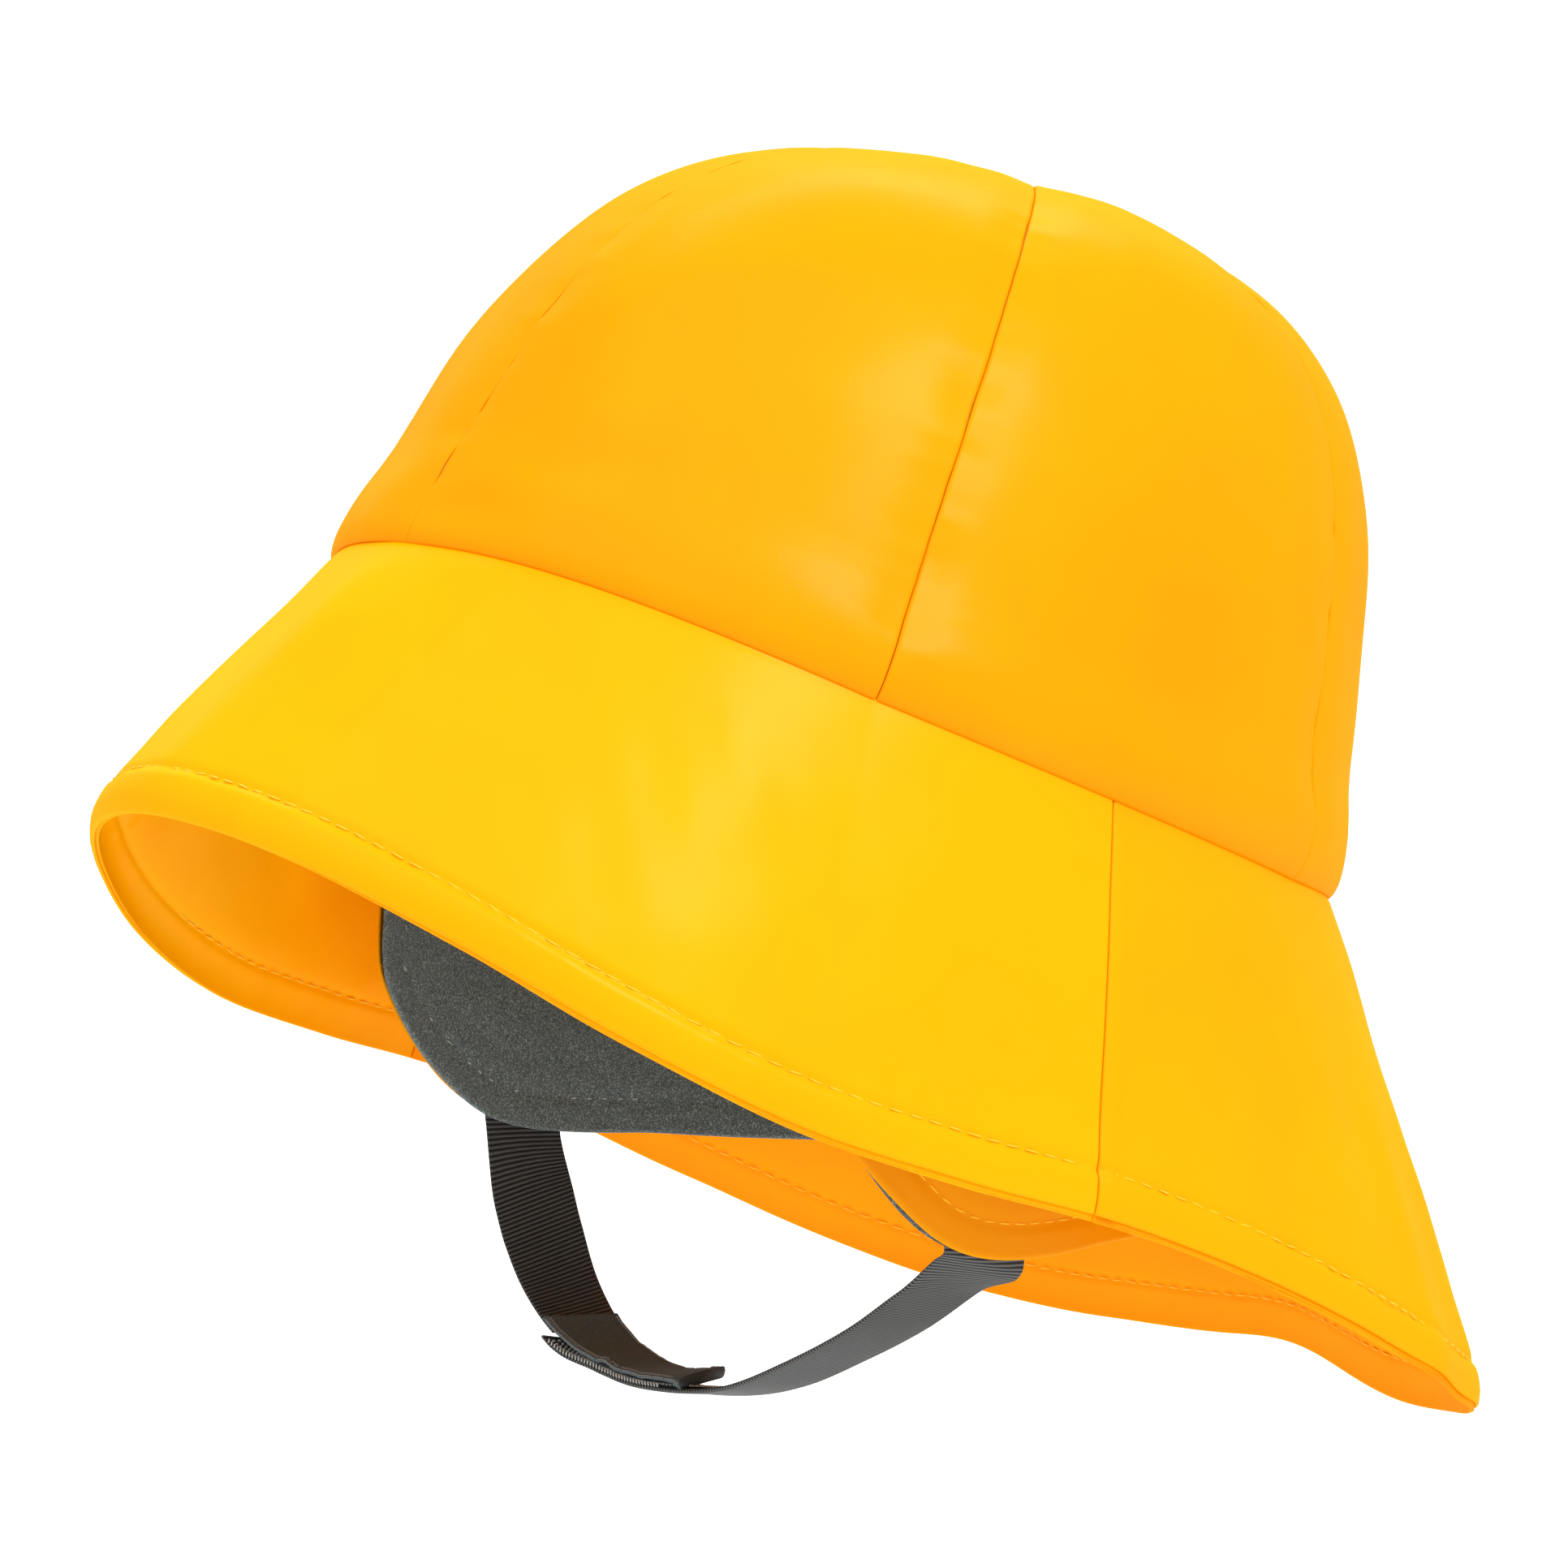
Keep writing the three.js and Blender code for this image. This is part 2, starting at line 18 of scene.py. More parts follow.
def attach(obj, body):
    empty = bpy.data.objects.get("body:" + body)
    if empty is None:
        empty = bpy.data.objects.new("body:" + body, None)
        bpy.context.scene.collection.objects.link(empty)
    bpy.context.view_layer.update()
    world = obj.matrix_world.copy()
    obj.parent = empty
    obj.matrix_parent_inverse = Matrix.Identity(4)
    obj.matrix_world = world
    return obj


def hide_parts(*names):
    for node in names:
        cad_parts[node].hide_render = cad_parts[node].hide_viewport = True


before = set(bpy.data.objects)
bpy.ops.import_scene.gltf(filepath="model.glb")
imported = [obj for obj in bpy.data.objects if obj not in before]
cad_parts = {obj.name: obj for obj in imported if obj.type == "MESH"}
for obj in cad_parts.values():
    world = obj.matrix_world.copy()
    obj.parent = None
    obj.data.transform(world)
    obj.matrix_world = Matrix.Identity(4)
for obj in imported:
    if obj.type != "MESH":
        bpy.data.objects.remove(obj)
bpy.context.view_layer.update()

log = logging.getLogger("souwester")
MM = 0.001
Array = np.ndarray
Surface = Callable[[Array, Array], Array]


class Side(Enum):
    """The wearer's two sides, with the sign of their angles round the hat."""

    LEFT = 1
    RIGHT = -1


# Numbers that shape cloth.


def graded(*stops: tuple[float, float]) -> Array:
    """Spaces positions from the first stop to the last with a step that changes smoothly.

    Args:
        stops: Pairs of a position and the step wanted there, in rising order.

    Returns:
        The positions, with the first and last stop exactly on them.
    """
    places, steps = np.array(stops, float).T
    found = [places[0]]
    while found[-1] < places[-1]:
        found.append(found[-1] + float(np.interp(found[-1], places, steps)))
    spaced = np.array(found)
    return places[0] + (spaced - places[0]) * (places[-1] - places[0]) / (spaced[-1] - places[0])


def fade(value: Array, low: float, high: float) -> Array:
    """Rises smoothly from 0 at low to 1 at high."""
    share = np.clip((value - low) / (high - low), 0, 1)
    return share * share * (3 - 2 * share)


def bell(value: Array, spread: float) -> Array:
    """1 at a value of 0, fading out over the spread on both sides."""
    return np.exp(-((value / spread) ** 2))


def rolled(distance: Array, radius: float, depth: Array | float) -> Array:
    """How far a rolled edge has turned under.

    Args:
        distance: Distance from the edge along the cloth.
        radius: Distance over which the cloth turns.
        depth: How far under it ends.

    Returns:
        The depth below the flat cloth.
    """
    share = np.clip(1 - distance / radius, 0, 1)
    return depth * (1 - np.sqrt(1 - share * share))


def waves(along: Array, across: Array, seed: int, length: float) -> Array:
    """Soft irregular swells between about -1 and 1, the same at every run.

    Args:
        along: Distance one way over the cloth.
        across: Distance the other way.
        seed: Which pattern of swells.
        length: Length of the longest swell.

    Returns:
        The height of the swells.
    """
    chance = np.random.default_rng(seed)
    total = np.zeros(np.broadcast(along, across).shape)
    for octave, weight in enumerate((0.5, 0.3, 0.2)):
        for _ in range(3):
            turn, phase = chance.uniform(0, 2 * math.pi, 2)
            pitch = 2 * math.pi * 1.7**octave / length
            total += weight * np.sin(pitch * (along * math.cos(turn) + across * math.sin(turn)) + phase)
    return total / 1.6


def unit(vectors: Array) -> Array:
    """Vectors scaled to a length of 1."""
    return vectors / np.maximum(np.linalg.norm(vectors, axis=-1, keepdims=True), 1e-12)


def folded(angle: Array) -> Array:
    """Angles folded onto the wearer's left half of the hat, 0 to 180."""
    turn = np.mod(angle, 360)
    return np.where(turn > 180, 360 - turn, turn)


def apart(angle: Array, other: float) -> Array:
    """Signed difference between angles, from -180 to 180."""
    return np.mod(angle - other + 540, 360) - 180


def path_length(points: Array) -> Array:
    """Distance walked along a polyline up to each of its points."""
    return np.concatenate([[0], np.cumsum(np.linalg.norm(np.diff(points, axis=0), axis=1))])


def along_path(places: Array, walked: Array, points: Array) -> Array:
    """Points, or other rows of values, at distances walked along their polyline."""
    return np.stack([np.interp(places, walked, points[:, k]) for k in range(points.shape[1])], axis=-1)


def meshed(name: str, bm: bmesh.types.BMesh) -> bpy.types.Mesh:
    """Ends an edit by writing it to a new mesh.

    Args:
        name: The mesh's name.
        bm: The edit.

    Returns:
        The mesh.
    """
    mesh = bpy.data.meshes.new(name)
    rewritten(mesh, bm)
    return mesh


def rewritten(mesh: bpy.types.Mesh, bm: bmesh.types.BMesh) -> None:
    """Ends an edit by writing it back to its mesh."""
    bm.to_mesh(mesh)
    bm.free()


class Table:
    """A short table read at any angle by a cubic through its rows."""

    def __init__(self, columns: tuple[str, ...], rows: list[tuple[float, ...]]) -> None:
        """Stores the rows under their column names, angle first."""
        self.columns = columns
        self.values = np.array(rows, float)

    def read(self, column: str, angle: Array) -> Array:
        """Reads one column.

        Args:
            column: The column's name.
            angle: Angles from 0 to 180.

        Returns:
            The column's value at each angle.
        """
        x = self.values[:, 0]
        y = self.values[:, self.columns.index(column)]
        slope = np.zeros(len(x))
        slope[1:-1] = (y[2:] - y[:-2]) / (x[2:] - x[:-2])
        row = np.clip(np.searchsorted(x, angle, side="right") - 1, 0, len(x) - 2)
        span = x[row + 1] - x[row]
        t = np.clip((angle - x[row]) / span, 0, 1)
        t2, t3 = t * t, t * t * t
        start = y[row] * (2 * t3 - 3 * t2 + 1) + slope[row] * span * (t3 - 2 * t2 + t)
        return start + y[row + 1] * (3 * t2 - 2 * t3) + slope[row + 1] * span * (t3 - t2)


# The surfaces of the hat.


@dataclass(frozen=True)
class HatForm:
    """The surfaces that the sheets of the hat lie on, upright and in millimetres."""

    half_length: float = 97
    half_width: float = 82.5
    height: float = 103
    apex_setback: float = 12.5
    taper: float = 0.21
    shoulder: float = 4.5
    cap: float = 2.63
    puff: float = 1.2
    roll_out: float = 0.4
    roll_height: float = 11
    front_rise: float = 8.5
    saddle: float = 4
    tilt: float = 16.5
    reach: float = 30
    drop: float = 60
    flap_lean: float = 0.125
    upper_depth: float = 1.5
    brim_sections: Table = field(default_factory=lambda: Table(
        ("angle", "out", "drop", "bow"),
        [
            (0, 1.05, 0.9, 0.1), (15, 0.99, 0.93, 0.1), (30, 0.86, 1.01, 0.1), (45, 0.73, 1.1, 0.08),
            (60, 0.62, 1.15, 0.05), (75, 0.56, 1.13, 0.03), (90, 0.62, 1.1, 0.02),
            (105, 0.85, 1.133, 0.02), (120, 1.18, 1.226, 0.03), (135, 1.41, 1.34, 0.05),
            (150, 1.42, 1.396, 0.05), (165, 1.225, 1.38, 0.04), (180, 1.173, 1.336, 0.03),
        ],
    ))
    crown_dents: tuple[tuple[float, float, float, float, float], ...] = (
        (146, 0.3, 26, 0.3, 0.9), (214, 0.3, 26, 0.3, 0.5), (330, 0.93, 40, 0.12, -0.7),
        (8, 0.07, 9, 0.05, 0.8),
    )
    brim_folds: tuple[tuple[float, float], ...] = (
        (140, 0.008), (150, 0.012), (160, -0.01), (168, 0.009), (176, 0.02), (184, -0.009), (192, 0.011),
        (208, 0.007),
    )
    fold_spread: float = 8

    def seam_height(self, angle: Array) -> Array:
        """Height of the seam between crown and brim."""
        turn = np.radians(angle)
        return self.front_rise * np.cos(turn) + self.saddle * np.cos(2 * turn)

    def plan_share(self, height: Array) -> Array:
        """Share of the plan size left at a height share."""
        h = np.clip(height, 0, 1)
        return (1 - self.taper * h) * (1 - h**self.shoulder) ** (1 / self.cap)

    def crown_base(self, angle: Array, height: Array) -> Array:
        """Points of the smooth crown at angles and height shares.

        Args:
            angle: Angles round the hat.
            height: Shares of the way up, 0 to 1.

        Returns:
            The points.
        """
        plan, turn = self.plan_share(height), np.radians(angle)
        return np.stack([
            self.half_width * np.sin(turn) * plan,
            -self.half_length * np.cos(turn) * plan + self.apex_setback * height,
            self.seam_height(angle) * (1 - height) + self.height * height,
        ], axis=-1)

    def normal(self, surface: Surface, angle: Array, value: Array, high: float) -> Array:
        """Unit normals of a surface.

        Args:
            surface: Gives points at angles and a second value.
            angle: The angles.
            value: The second values, from 0.
            high: The highest second value.

        Returns:
            The normals, outward where the second value rises.
        """
        step = 1e-4
        rise = surface(angle, np.minimum(value + step, high)) - surface(angle, np.maximum(value - step, 0))
        return unit(np.cross(surface(angle + 0.2, value) - surface(angle - 0.2, value), rise))

    def crown_normal(self, angle: Array, height: Array) -> Array:
        """Outward normals of the smooth crown."""
        return self.normal(self.crown_base, angle, np.minimum(height, 0.9995), 0.9999)

    def crown_relief(self, angle: Array, height: Array) -> Array:
        """Panels puffed between their seams, rolled over the brim and dented.

        Args:
            angle: Angles round the hat.
            height: Shares of the way up, 0 to 1.

        Returns:
            How far the cloth stands out from the smooth crown.
        """
        across = np.mod(angle, 60) / 60
        relief = self.puff * (np.sin(np.pi * across) - 0.75) * self.plan_share(height)
        rolling = np.clip(height * self.height / (2 * self.roll_height), 0, 1)
        relief = relief + self.roll_out * np.sin(np.pi * rolling)
        for at, level, spread, tall, inwards in self.crown_dents:
            dent = bell(apart(angle, at), spread) * bell(height - level, tall)
            relief = relief - self.puff * inwards * dent
        return relief

    def crown_face(self, angle: Array, height: Array, depth: Array | float) -> Array:
        """Points of the crown's layers at a depth below its outer face."""
        lift = self.crown_relief(angle, height) - depth
        return self.crown_base(angle, height) + self.crown_normal(angle, height) * lift[..., None]

    def brim_base(self, angle: Array, share: Array) -> Array:
        """Points of the brim's upper face at shares of the way from the seam to the rim.

        Args:
            angle: Angles round the hat.
            share: Shares of the way to the rim.

        Returns:
            The points.
        """
        side, turn = folded(angle), np.radians(angle)
        root = self.crown_face(angle, np.zeros_like(angle), self.upper_depth)
        out = self.reach * self.brim_sections.read("out", side)
        lift = sum(rise * bell(apart(angle, at), self.fold_spread) for at, rise in self.brim_folds)
        drop = self.drop * (self.brim_sections.read("drop", side) - lift)
        rim = np.stack([
            (self.half_width + out) * np.sin(turn),
            -(self.half_length + out) * np.cos(turn),
            self.seam_height(angle) - drop,
        ], axis=-1)
        point = root + (rim - root) * share[..., None]
        bow = self.reach * self.brim_sections.read("bow", side) * share**0.6 * (1 - np.minimum(share, 1)**20)
        outwards = np.stack([np.sin(turn), -np.cos(turn), np.full_like(turn, 0.6)], axis=-1)
        return point + bow[..., None] * outwards

    def brim_slope(self, angle: Array) -> Array:
        """Length of the brim from the seam to the rim."""
        zero = np.zeros_like(angle)
        return np.linalg.norm(self.brim_base(angle, zero + 1) - self.brim_base(angle, zero), axis=-1)

    def brim_point(self, angle: Array, down: Array, depth: Array) -> Array:
        """Points of the brim's layers.

        Args:
            angle: Angles round the hat.
            down: Distance below the crown seam, less than 0 where it is tucked inside.
            depth: Depth below the brim's upper face.

        Returns:
            The points.
        """
        share = np.clip(down / self.brim_slope(angle), 0, 1.03)
        height = np.clip(-down / self.height, 0, 1)
        crown = self.crown_normal(angle, height)
        brim = -self.normal(self.brim_base, angle, np.clip(share, 0.02, 1), 1)
        turned = fade(down, -1.5, 2.5)[..., None]
        facing = unit(crown * (1 - turned) + brim * turned)
        inside = self.crown_face(angle, height, self.upper_depth)
        base = np.where((down < 0)[..., None], inside, self.brim_base(angle, share))
        return base - facing * depth[..., None]

    def flap_point(self, angle: Array, fall: Array, depth: Array) -> Array:
        """Points of an ear flap's layers at a distance below the crown seam.

        Args:
            angle: Angles round the hat.
            fall: Distance below the seam.
            depth: Depth below the crown's outer face.

        Returns:
            The points.
        """
        height = np.clip(-fall / self.height, 0, 1)
        below = np.maximum(fall, 0)[..., None]
        inward = self.crown_normal(angle, np.zeros_like(angle)) * np.array([1.0, 1.0, 0.0])
        hang = np.array([0.0, 0.0, -1.0]) - unit(inward) * self.flap_lean
        return self.crown_face(angle, height, depth) + hang * below

    def worn(self, points: Array) -> Array:
        """Points tipped back with the hat as it is worn.

        Args:
            points: Points of the upright hat.

        Returns:
            The points in the hat's frame.
        """
        c, s = math.cos(math.radians(self.tilt)), math.sin(math.radians(self.tilt))
        x, y, z = np.moveaxis(points, -1, 0)
        return np.stack([x, c * y + s * z, c * z - s * y], axis=-1)


# Laying cloth and sewing it.


@dataclass(frozen=True)
class Workshop:
    """Turns surfaces into meshes: grids laid on them, bands wrapped round them, stitches."""

    form: HatForm

    def fitted(self, name: str, mesh: bpy.types.Mesh, slot: str, nodes: tuple[str, ...]) -> bpy.types.Object:
        """Links a finished mesh as a piece of the hat.

        Args:
            name: The piece's name.
            mesh: Its mesh, in metres and in place.
            slot: Name of the record's slot; not used.
            nodes: The solids it stands for.

        Returns:
            The piece.
        """
        mesh.shade_smooth()
        piece = bpy.data.objects.new(name, mesh)
        bpy.context.scene.collection.objects.link(piece)
        if nodes:
            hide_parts(*nodes)
        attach(piece, "root")
        return piece

    def grid(self, name: str, columns: Array, rows: Array) -> tuple[bpy.types.Mesh, Array, Array]:
        """Makes a flat grid whose points know their column and row.

        Args:
            name: The mesh's name.
            columns: Value of each column.
            rows: Value of each row.

        Returns:
            The mesh, and each vertex's column value and row value.
        """
        bm = bmesh.new()
        bmesh.ops.create_grid(bm, x_segments=len(columns) - 1, y_segments=len(rows) - 1, size=1)
        mesh = meshed(name, bm)
        flat = np.empty(len(mesh.vertices) * 3, np.float32)
        mesh.vertices.foreach_get("co", flat)
        share = (flat.reshape(-1, 3)[:, :2] + 1) / 2
        column = np.rint(share[:, 0] * (len(columns) - 1)).astype(int)
        row = np.rint(share[:, 1] * (len(rows) - 1)).astype(int)
        return mesh, columns[column], rows[row]

    def place(self, mesh: bpy.types.Mesh, points: Array, chart: tuple[Array, Array], inward: bool) -> None:
        """Moves a grid's points onto their surface and charts the cloth.

        Args:
            mesh: The grid.
            points: Where its vertices go, in millimetres.
            chart: Each vertex's two distances over the cloth.
            inward: Whether the seen face looks towards the head.
        """
        mesh.vertices.foreach_set("co", (points * MM).astype(np.float32).ravel())
        corners = np.empty(len(mesh.loops), np.int32)
        mesh.loops.foreach_get("vertex_index", corners)
        uv = mesh.uv_layers.new(name="cloth")
        uv.data.foreach_set("uv", np.stack(chart, axis=-1)[corners].astype(np.float32).ravel())
        mesh.update()
        count = len(mesh.polygons)
        facing, middle = np.empty(count * 3, np.float32), np.empty(count * 3, np.float32)
        mesh.polygons.foreach_get("normal", facing)
        mesh.polygons.foreach_get("center", middle)
        spoke = middle.reshape(-1, 3) - np.array([0, 0, -0.04], np.float32)
        outward = float(np.sum(facing.reshape(-1, 3) * spoke)) > 0
        if outward == inward:
            mesh.flip_normals()
        mesh.update()

    def walled(self, piece: bpy.types.Object, wall: float, face: bpy.types.Material,
               hidden: bpy.types.Material | None = None) -> None:
        """Gives a sheet its thickness behind the seen face, and its finishes.

        Args:
            piece: The sheet.
            wall: The thickness.
            face: Finish of the seen face and the edges.
            hidden: Finish of the other face, where it differs.
        """
        piece.data.materials.append(face)
        if hidden:
            piece.data.materials.append(hidden)
        wall_maker = piece.modifiers.new("wall", "SOLIDIFY")
        wall_maker.thickness = wall * MM
        wall_maker.offset = -1
        wall_maker.use_rim = True
        wall_maker.material_offset = 1 if hidden else 0

    def band(self, name: str, stations: Array, width: float, thickness: Callable[[Array], Array],
             point: Callable[[Array, Array, Array], Array]) -> bpy.types.Mesh:
        """Wraps a grid round a flat band with rounded edges.

        Args:
            name: The mesh's name.
            stations: Distances along the band.
            width: Width of the band.
            thickness: Gives the thickness at distances along the band.
            point: Gives points at a distance along, an offset across and one through the band.

        Returns:
            The closed mesh.
        """
        half = width / 2
        turn = np.linspace(-90, 90, 5)
        flat = np.linspace(1, -1, 6)[1:-1]
        section = [(1, math.sin(math.radians(t)), math.cos(math.radians(t))) for t in turn]
        section += [(share, 1, 0) for share in flat]
        section += [(-1, math.sin(math.radians(t)), -math.cos(math.radians(t))) for t in turn[::-1]]
        section += [(-share, -1, 0) for share in flat]
        shape = np.array(section + section[:1])
        mesh, along, corner = self.grid(name, stations, np.arange(len(shape)))
        body, through, bulge = shape[corner.astype(int)].T
        thick = thickness(along)
        across = body * (half - thick / 2) + bulge * thick / 2
        chart = (along, across + 100 * (through > 0.5))
        self.place(mesh, point(along, across, through * thick / 2), chart, False)
        bm = bmesh.new()
        bm.from_mesh(mesh)
        bmesh.ops.remove_doubles(bm, verts=bm.verts, dist=1e-6)
        bmesh.ops.holes_fill(bm, edges=[e for e in bm.edges if e.is_boundary], sides=0)
        bmesh.ops.recalc_face_normals(bm, faces=bm.faces)
        rewritten(mesh, bm)
        return mesh

    def ball_turn(self, axes: tuple[Array, Array, Array], middle: Array) -> Matrix:
        """Matrix that stretches a unit ball along three axes, in millimetres, round a middle.

        Args:
            axes: Half axes of the stretched ball.
            middle: Where it lies.

        Returns:
            The matrix, in metres.
        """
        turn = Matrix((np.stack(axes, axis=1) * MM).tolist()).to_4x4()
        turn.translation = Vector((middle * MM).tolist())
        return turn

    def stitches(self, name: str, rows: list[tuple[Array, Array]], slot: str, thread: bpy.types.Material,
                 pitch: float = 3.5, share: float = 0.76, width: float = 0.34,
                 skip: float = 0.0) -> bpy.types.Object:
        """Sews rows of stitches.

        Args:
            name: The piece's name.
            rows: Paths over the cloth, each with the direction that the cloth faces.
            slot: The record's slot.
            thread: Finish of the thread.
            pitch: Distance from stitch to stitch.
            share: Share of the pitch in which the thread shows.
            width: Thickness of the thread.
            skip: Share of the stitches that sink out of sight.

        Returns:
            The stitches as one piece.
        """
        chance = np.random.default_rng(len(name))
        bm = bmesh.new()
        for path, facing in rows:
            walked = path_length(path)
            count = int(walked[-1] // pitch)
            for index in range(count):
                middle = (index + 0.5) * pitch
                length = pitch * share * chance.uniform(0.9, 1.08)
                lean = chance.normal(0, 0.05)
                if chance.uniform() < skip:
                    continue
                ends = [along_path(middle + s * length / 2, walked, path) for s in (-1, 1)]
                out = unit(along_path(middle, walked, facing))
                along = unit(ends[1] - ends[0])
                side = unit(np.cross(out, along))
                along = unit(along + side * lean)
                side = unit(np.cross(out, along))
                axes = (side * width / 2, np.cross(along, side) * width * 0.42, along * length / 2)
                turn = self.ball_turn(axes, (ends[0] + ends[1]) / 2)
                bmesh.ops.create_uvsphere(bm, u_segments=6, v_segments=5, radius=1, matrix=turn)
        mesh = meshed(name, bm)
        mesh.materials.append(thread)
        return self.fitted(name, mesh, slot, ())


# Finishes.


class Wire:
    """A value on its way through a material; sums and products of it add Math nodes."""

    def __init__(self, paint: "Paint", socket: bpy.types.NodeSocket) -> None:
        """Wraps a node's output."""
        self.paint = paint
        self.socket = socket

    def joined(self, operation: str, first: "Wire | float", second: "Wire | float") -> "Wire":
        """One Math node of two values."""
        return self.paint.node("ShaderNodeMath", {"operation": operation}, {0: first, 1: second})

    def __add__(self, other: "Wire | float") -> "Wire":
        """Sum."""
        return self.joined("ADD", self, other)

    __radd__ = __add__

    def __sub__(self, other: "Wire | float") -> "Wire":
        """Difference."""
        return self.joined("SUBTRACT", self, other)

    def __rsub__(self, other: "Wire | float") -> "Wire":
        """Difference from a number."""
        return self.joined("SUBTRACT", other, self)

    def __mul__(self, other: "Wire | float") -> "Wire":
        """Product."""
        return self.joined("MULTIPLY", self, other)

    __rmul__ = __mul__

    def __pow__(self, other: float) -> "Wire":
        """Power."""
        return self.joined("POWER", self, other)

    def sine(self) -> "Wire":
        """Sine of an angle in radians."""
        return self.joined("SINE", self, 0.0)


class Paint:
    """A material in the making."""

    def __init__(self, name: str, colour: tuple[float, ...], roughness: float, specular: float,
                 others: dict[str, object] | None = None) -> None:
        """Starts a material.

        Args:
            name: Its name.
            colour: The shader's colour.
            roughness: The shader's roughness.
            specular: The shader's specular level.
            others: More of the shader's constant sockets.
        """
        self.material = bpy.data.materials.new(name)
        self.material.use_nodes = True
        self.tree = self.material.node_tree
        self.shader = self.tree.nodes["Principled BSDF"]
        constants = {"Base Color": (*colour, 1), "Roughness": roughness, "Specular IOR Level": specular}
        for socket, value in (constants | (others or {})).items():
            self.shader.inputs[socket].default_value = value
        self.material.diffuse_color = (*colour, 1)

    def node(self, kind: str, settings: dict[str, object], sockets: dict[str | int, object],
             output: str | int = 0) -> Wire:
        """Adds a node.

        Args:
            kind: The node's type.
            settings: Its properties.
            sockets: Values or wires for its inputs.
            output: Which output is wanted.

        Returns:
            The output.
        """
        added = self.tree.nodes.new(kind)
        for key, value in settings.items():
            setattr(added, key, value)
        for key, value in sockets.items():
            if isinstance(value, Wire):
                self.tree.links.new(value.socket, added.inputs[key])
            else:
                added.inputs[key].default_value = value
        return Wire(self, added.outputs[output])

    def noise(self, coordinates: Wire, scale: float, detail: float = 2.0, roughness: float = 0.5) -> Wire:
        """Noise between 0 and 1 with a mean of a half."""
        sockets = {"Vector": coordinates, "Scale": scale, "Detail": detail, "Roughness": roughness}
        return self.node("ShaderNodeTexNoise", {}, sockets, "Fac")

    def place(self) -> Wire:
        """Object coordinates, in metres."""
        return self.node("ShaderNodeTexCoord", {}, {}, "Object")

    def chart(self, axis: str) -> Wire:
        """One of the two distances over the cloth, in millimetres."""
        uv = self.node("ShaderNodeUVMap", {"uv_map": "cloth"}, {})
        return self.node("ShaderNodeSeparateXYZ", {}, {"Vector": uv}, axis)

    def stripes(self, value: Wire, pitch: float) -> Wire:
        """Soft stripes of 0 to 1 that repeat as a value rises by the pitch."""
        return (value * (2 * math.pi / pitch)).sine() * 0.5 + 0.5

    def between(self, low: Wire | float, high: Wire | float, value: Wire) -> Wire:
        """0 to 1 as a value goes from low to high."""
        sockets = {"Value": value, "From Min": low, "From Max": high}
        return self.node("ShaderNodeMapRange", {"clamp": True}, sockets)

    def mix(self, share: Wire, first: tuple[float, ...] | Wire, second: tuple[float, ...] | Wire) -> Wire:
        """Colours mixed by a share of the second."""
        colours = [c if isinstance(c, Wire) else (*c, 1.0) for c in (first, second)]
        return self.node("ShaderNodeMix", {"data_type": "RGBA"}, {0: share, 6: colours[0], 7: colours[1]}, 2)

    def use(self, socket: str, value: Wire) -> None:
        """Links a wire to one of the shader's sockets."""
        self.tree.links.new(value.socket, self.shader.inputs[socket])

    def bump(self, height: Wire, depth: float, strength: float = 1.0) -> None:
        """Raises the surface by a height of 0 to 1 times a depth in millimetres."""
        sockets = {"Strength": strength, "Distance": depth * MM, "Height": height}
        self.use("Normal", self.node("ShaderNodeBump", {}, sockets, "Normal"))


@dataclass(frozen=True)
class CoatedCloth:
    """Waterproof coated cloth with a satin face."""

    name: str
    colour: tuple[float, float, float]
    deep: tuple[float, float, float]
    roughness: float = 0.4
    lustre: float = 0.05
    coat: float = 0.038
    edge_tint: tuple[float, float, float] = (1.0, 0.75, 0.12)

    def material(self) -> bpy.types.Material:
        """Mixes the cloth's material.

        Returns:
            The material.
        """
        paint = Paint(self.name, self.colour, self.roughness, 0.0, {
            "Specular Tint": (*self.edge_tint, 1), "Metallic": self.lustre,
            "Coat Weight": self.coat, "Coat IOR": 2.0, "Coat Roughness": 0.27,
        })
        place = paint.place()
        cloud = paint.noise(place, 22.0, 3.0)
        grain = paint.noise(place, 2600.0, 2.0)
        wear = paint.between(0.35, 0.75, paint.noise(place, 90.0, 4.0))
        paint.use("Base Color", paint.mix(paint.between(0.3, 0.7, cloud), self.colour, self.deep))
        paint.use("Roughness", self.roughness + 0.07 * wear + 0.05 * grain)
        paint.bump(grain * 0.6 + paint.noise(place, 420.0, 2.0) * 0.4, 0.02, 0.35)
        return paint.material


@dataclass(frozen=True)
class KnitBacking:
    """Pale knitted back of the coated cloth, seen inside the crown."""

    name: str = "knit_backing"
    colour: tuple[float, float, float] = (0.62, 0.52, 0.30)
    pitch: float = 0.9

    def material(self) -> bpy.types.Material:
        """Mixes the backing's material.

        Returns:
            The material.
        """
        paint = Paint(self.name, self.colour, 0.85, 0.2)
        turn = 2 * math.pi / self.pitch
        loops = (paint.chart("X") * turn).sine() * 0.25 + (paint.chart("Y") * turn).sine() * 0.25 + 0.5
        darker = tuple(c * 0.72 for c in self.colour)
        paint.use("Base Color", paint.mix(loops, darker, self.colour))
        paint.use("Roughness", 0.8 + 0.1 * paint.noise(paint.place(), 300.0))
        paint.bump(loops, 0.12, 0.6)
        return paint.material


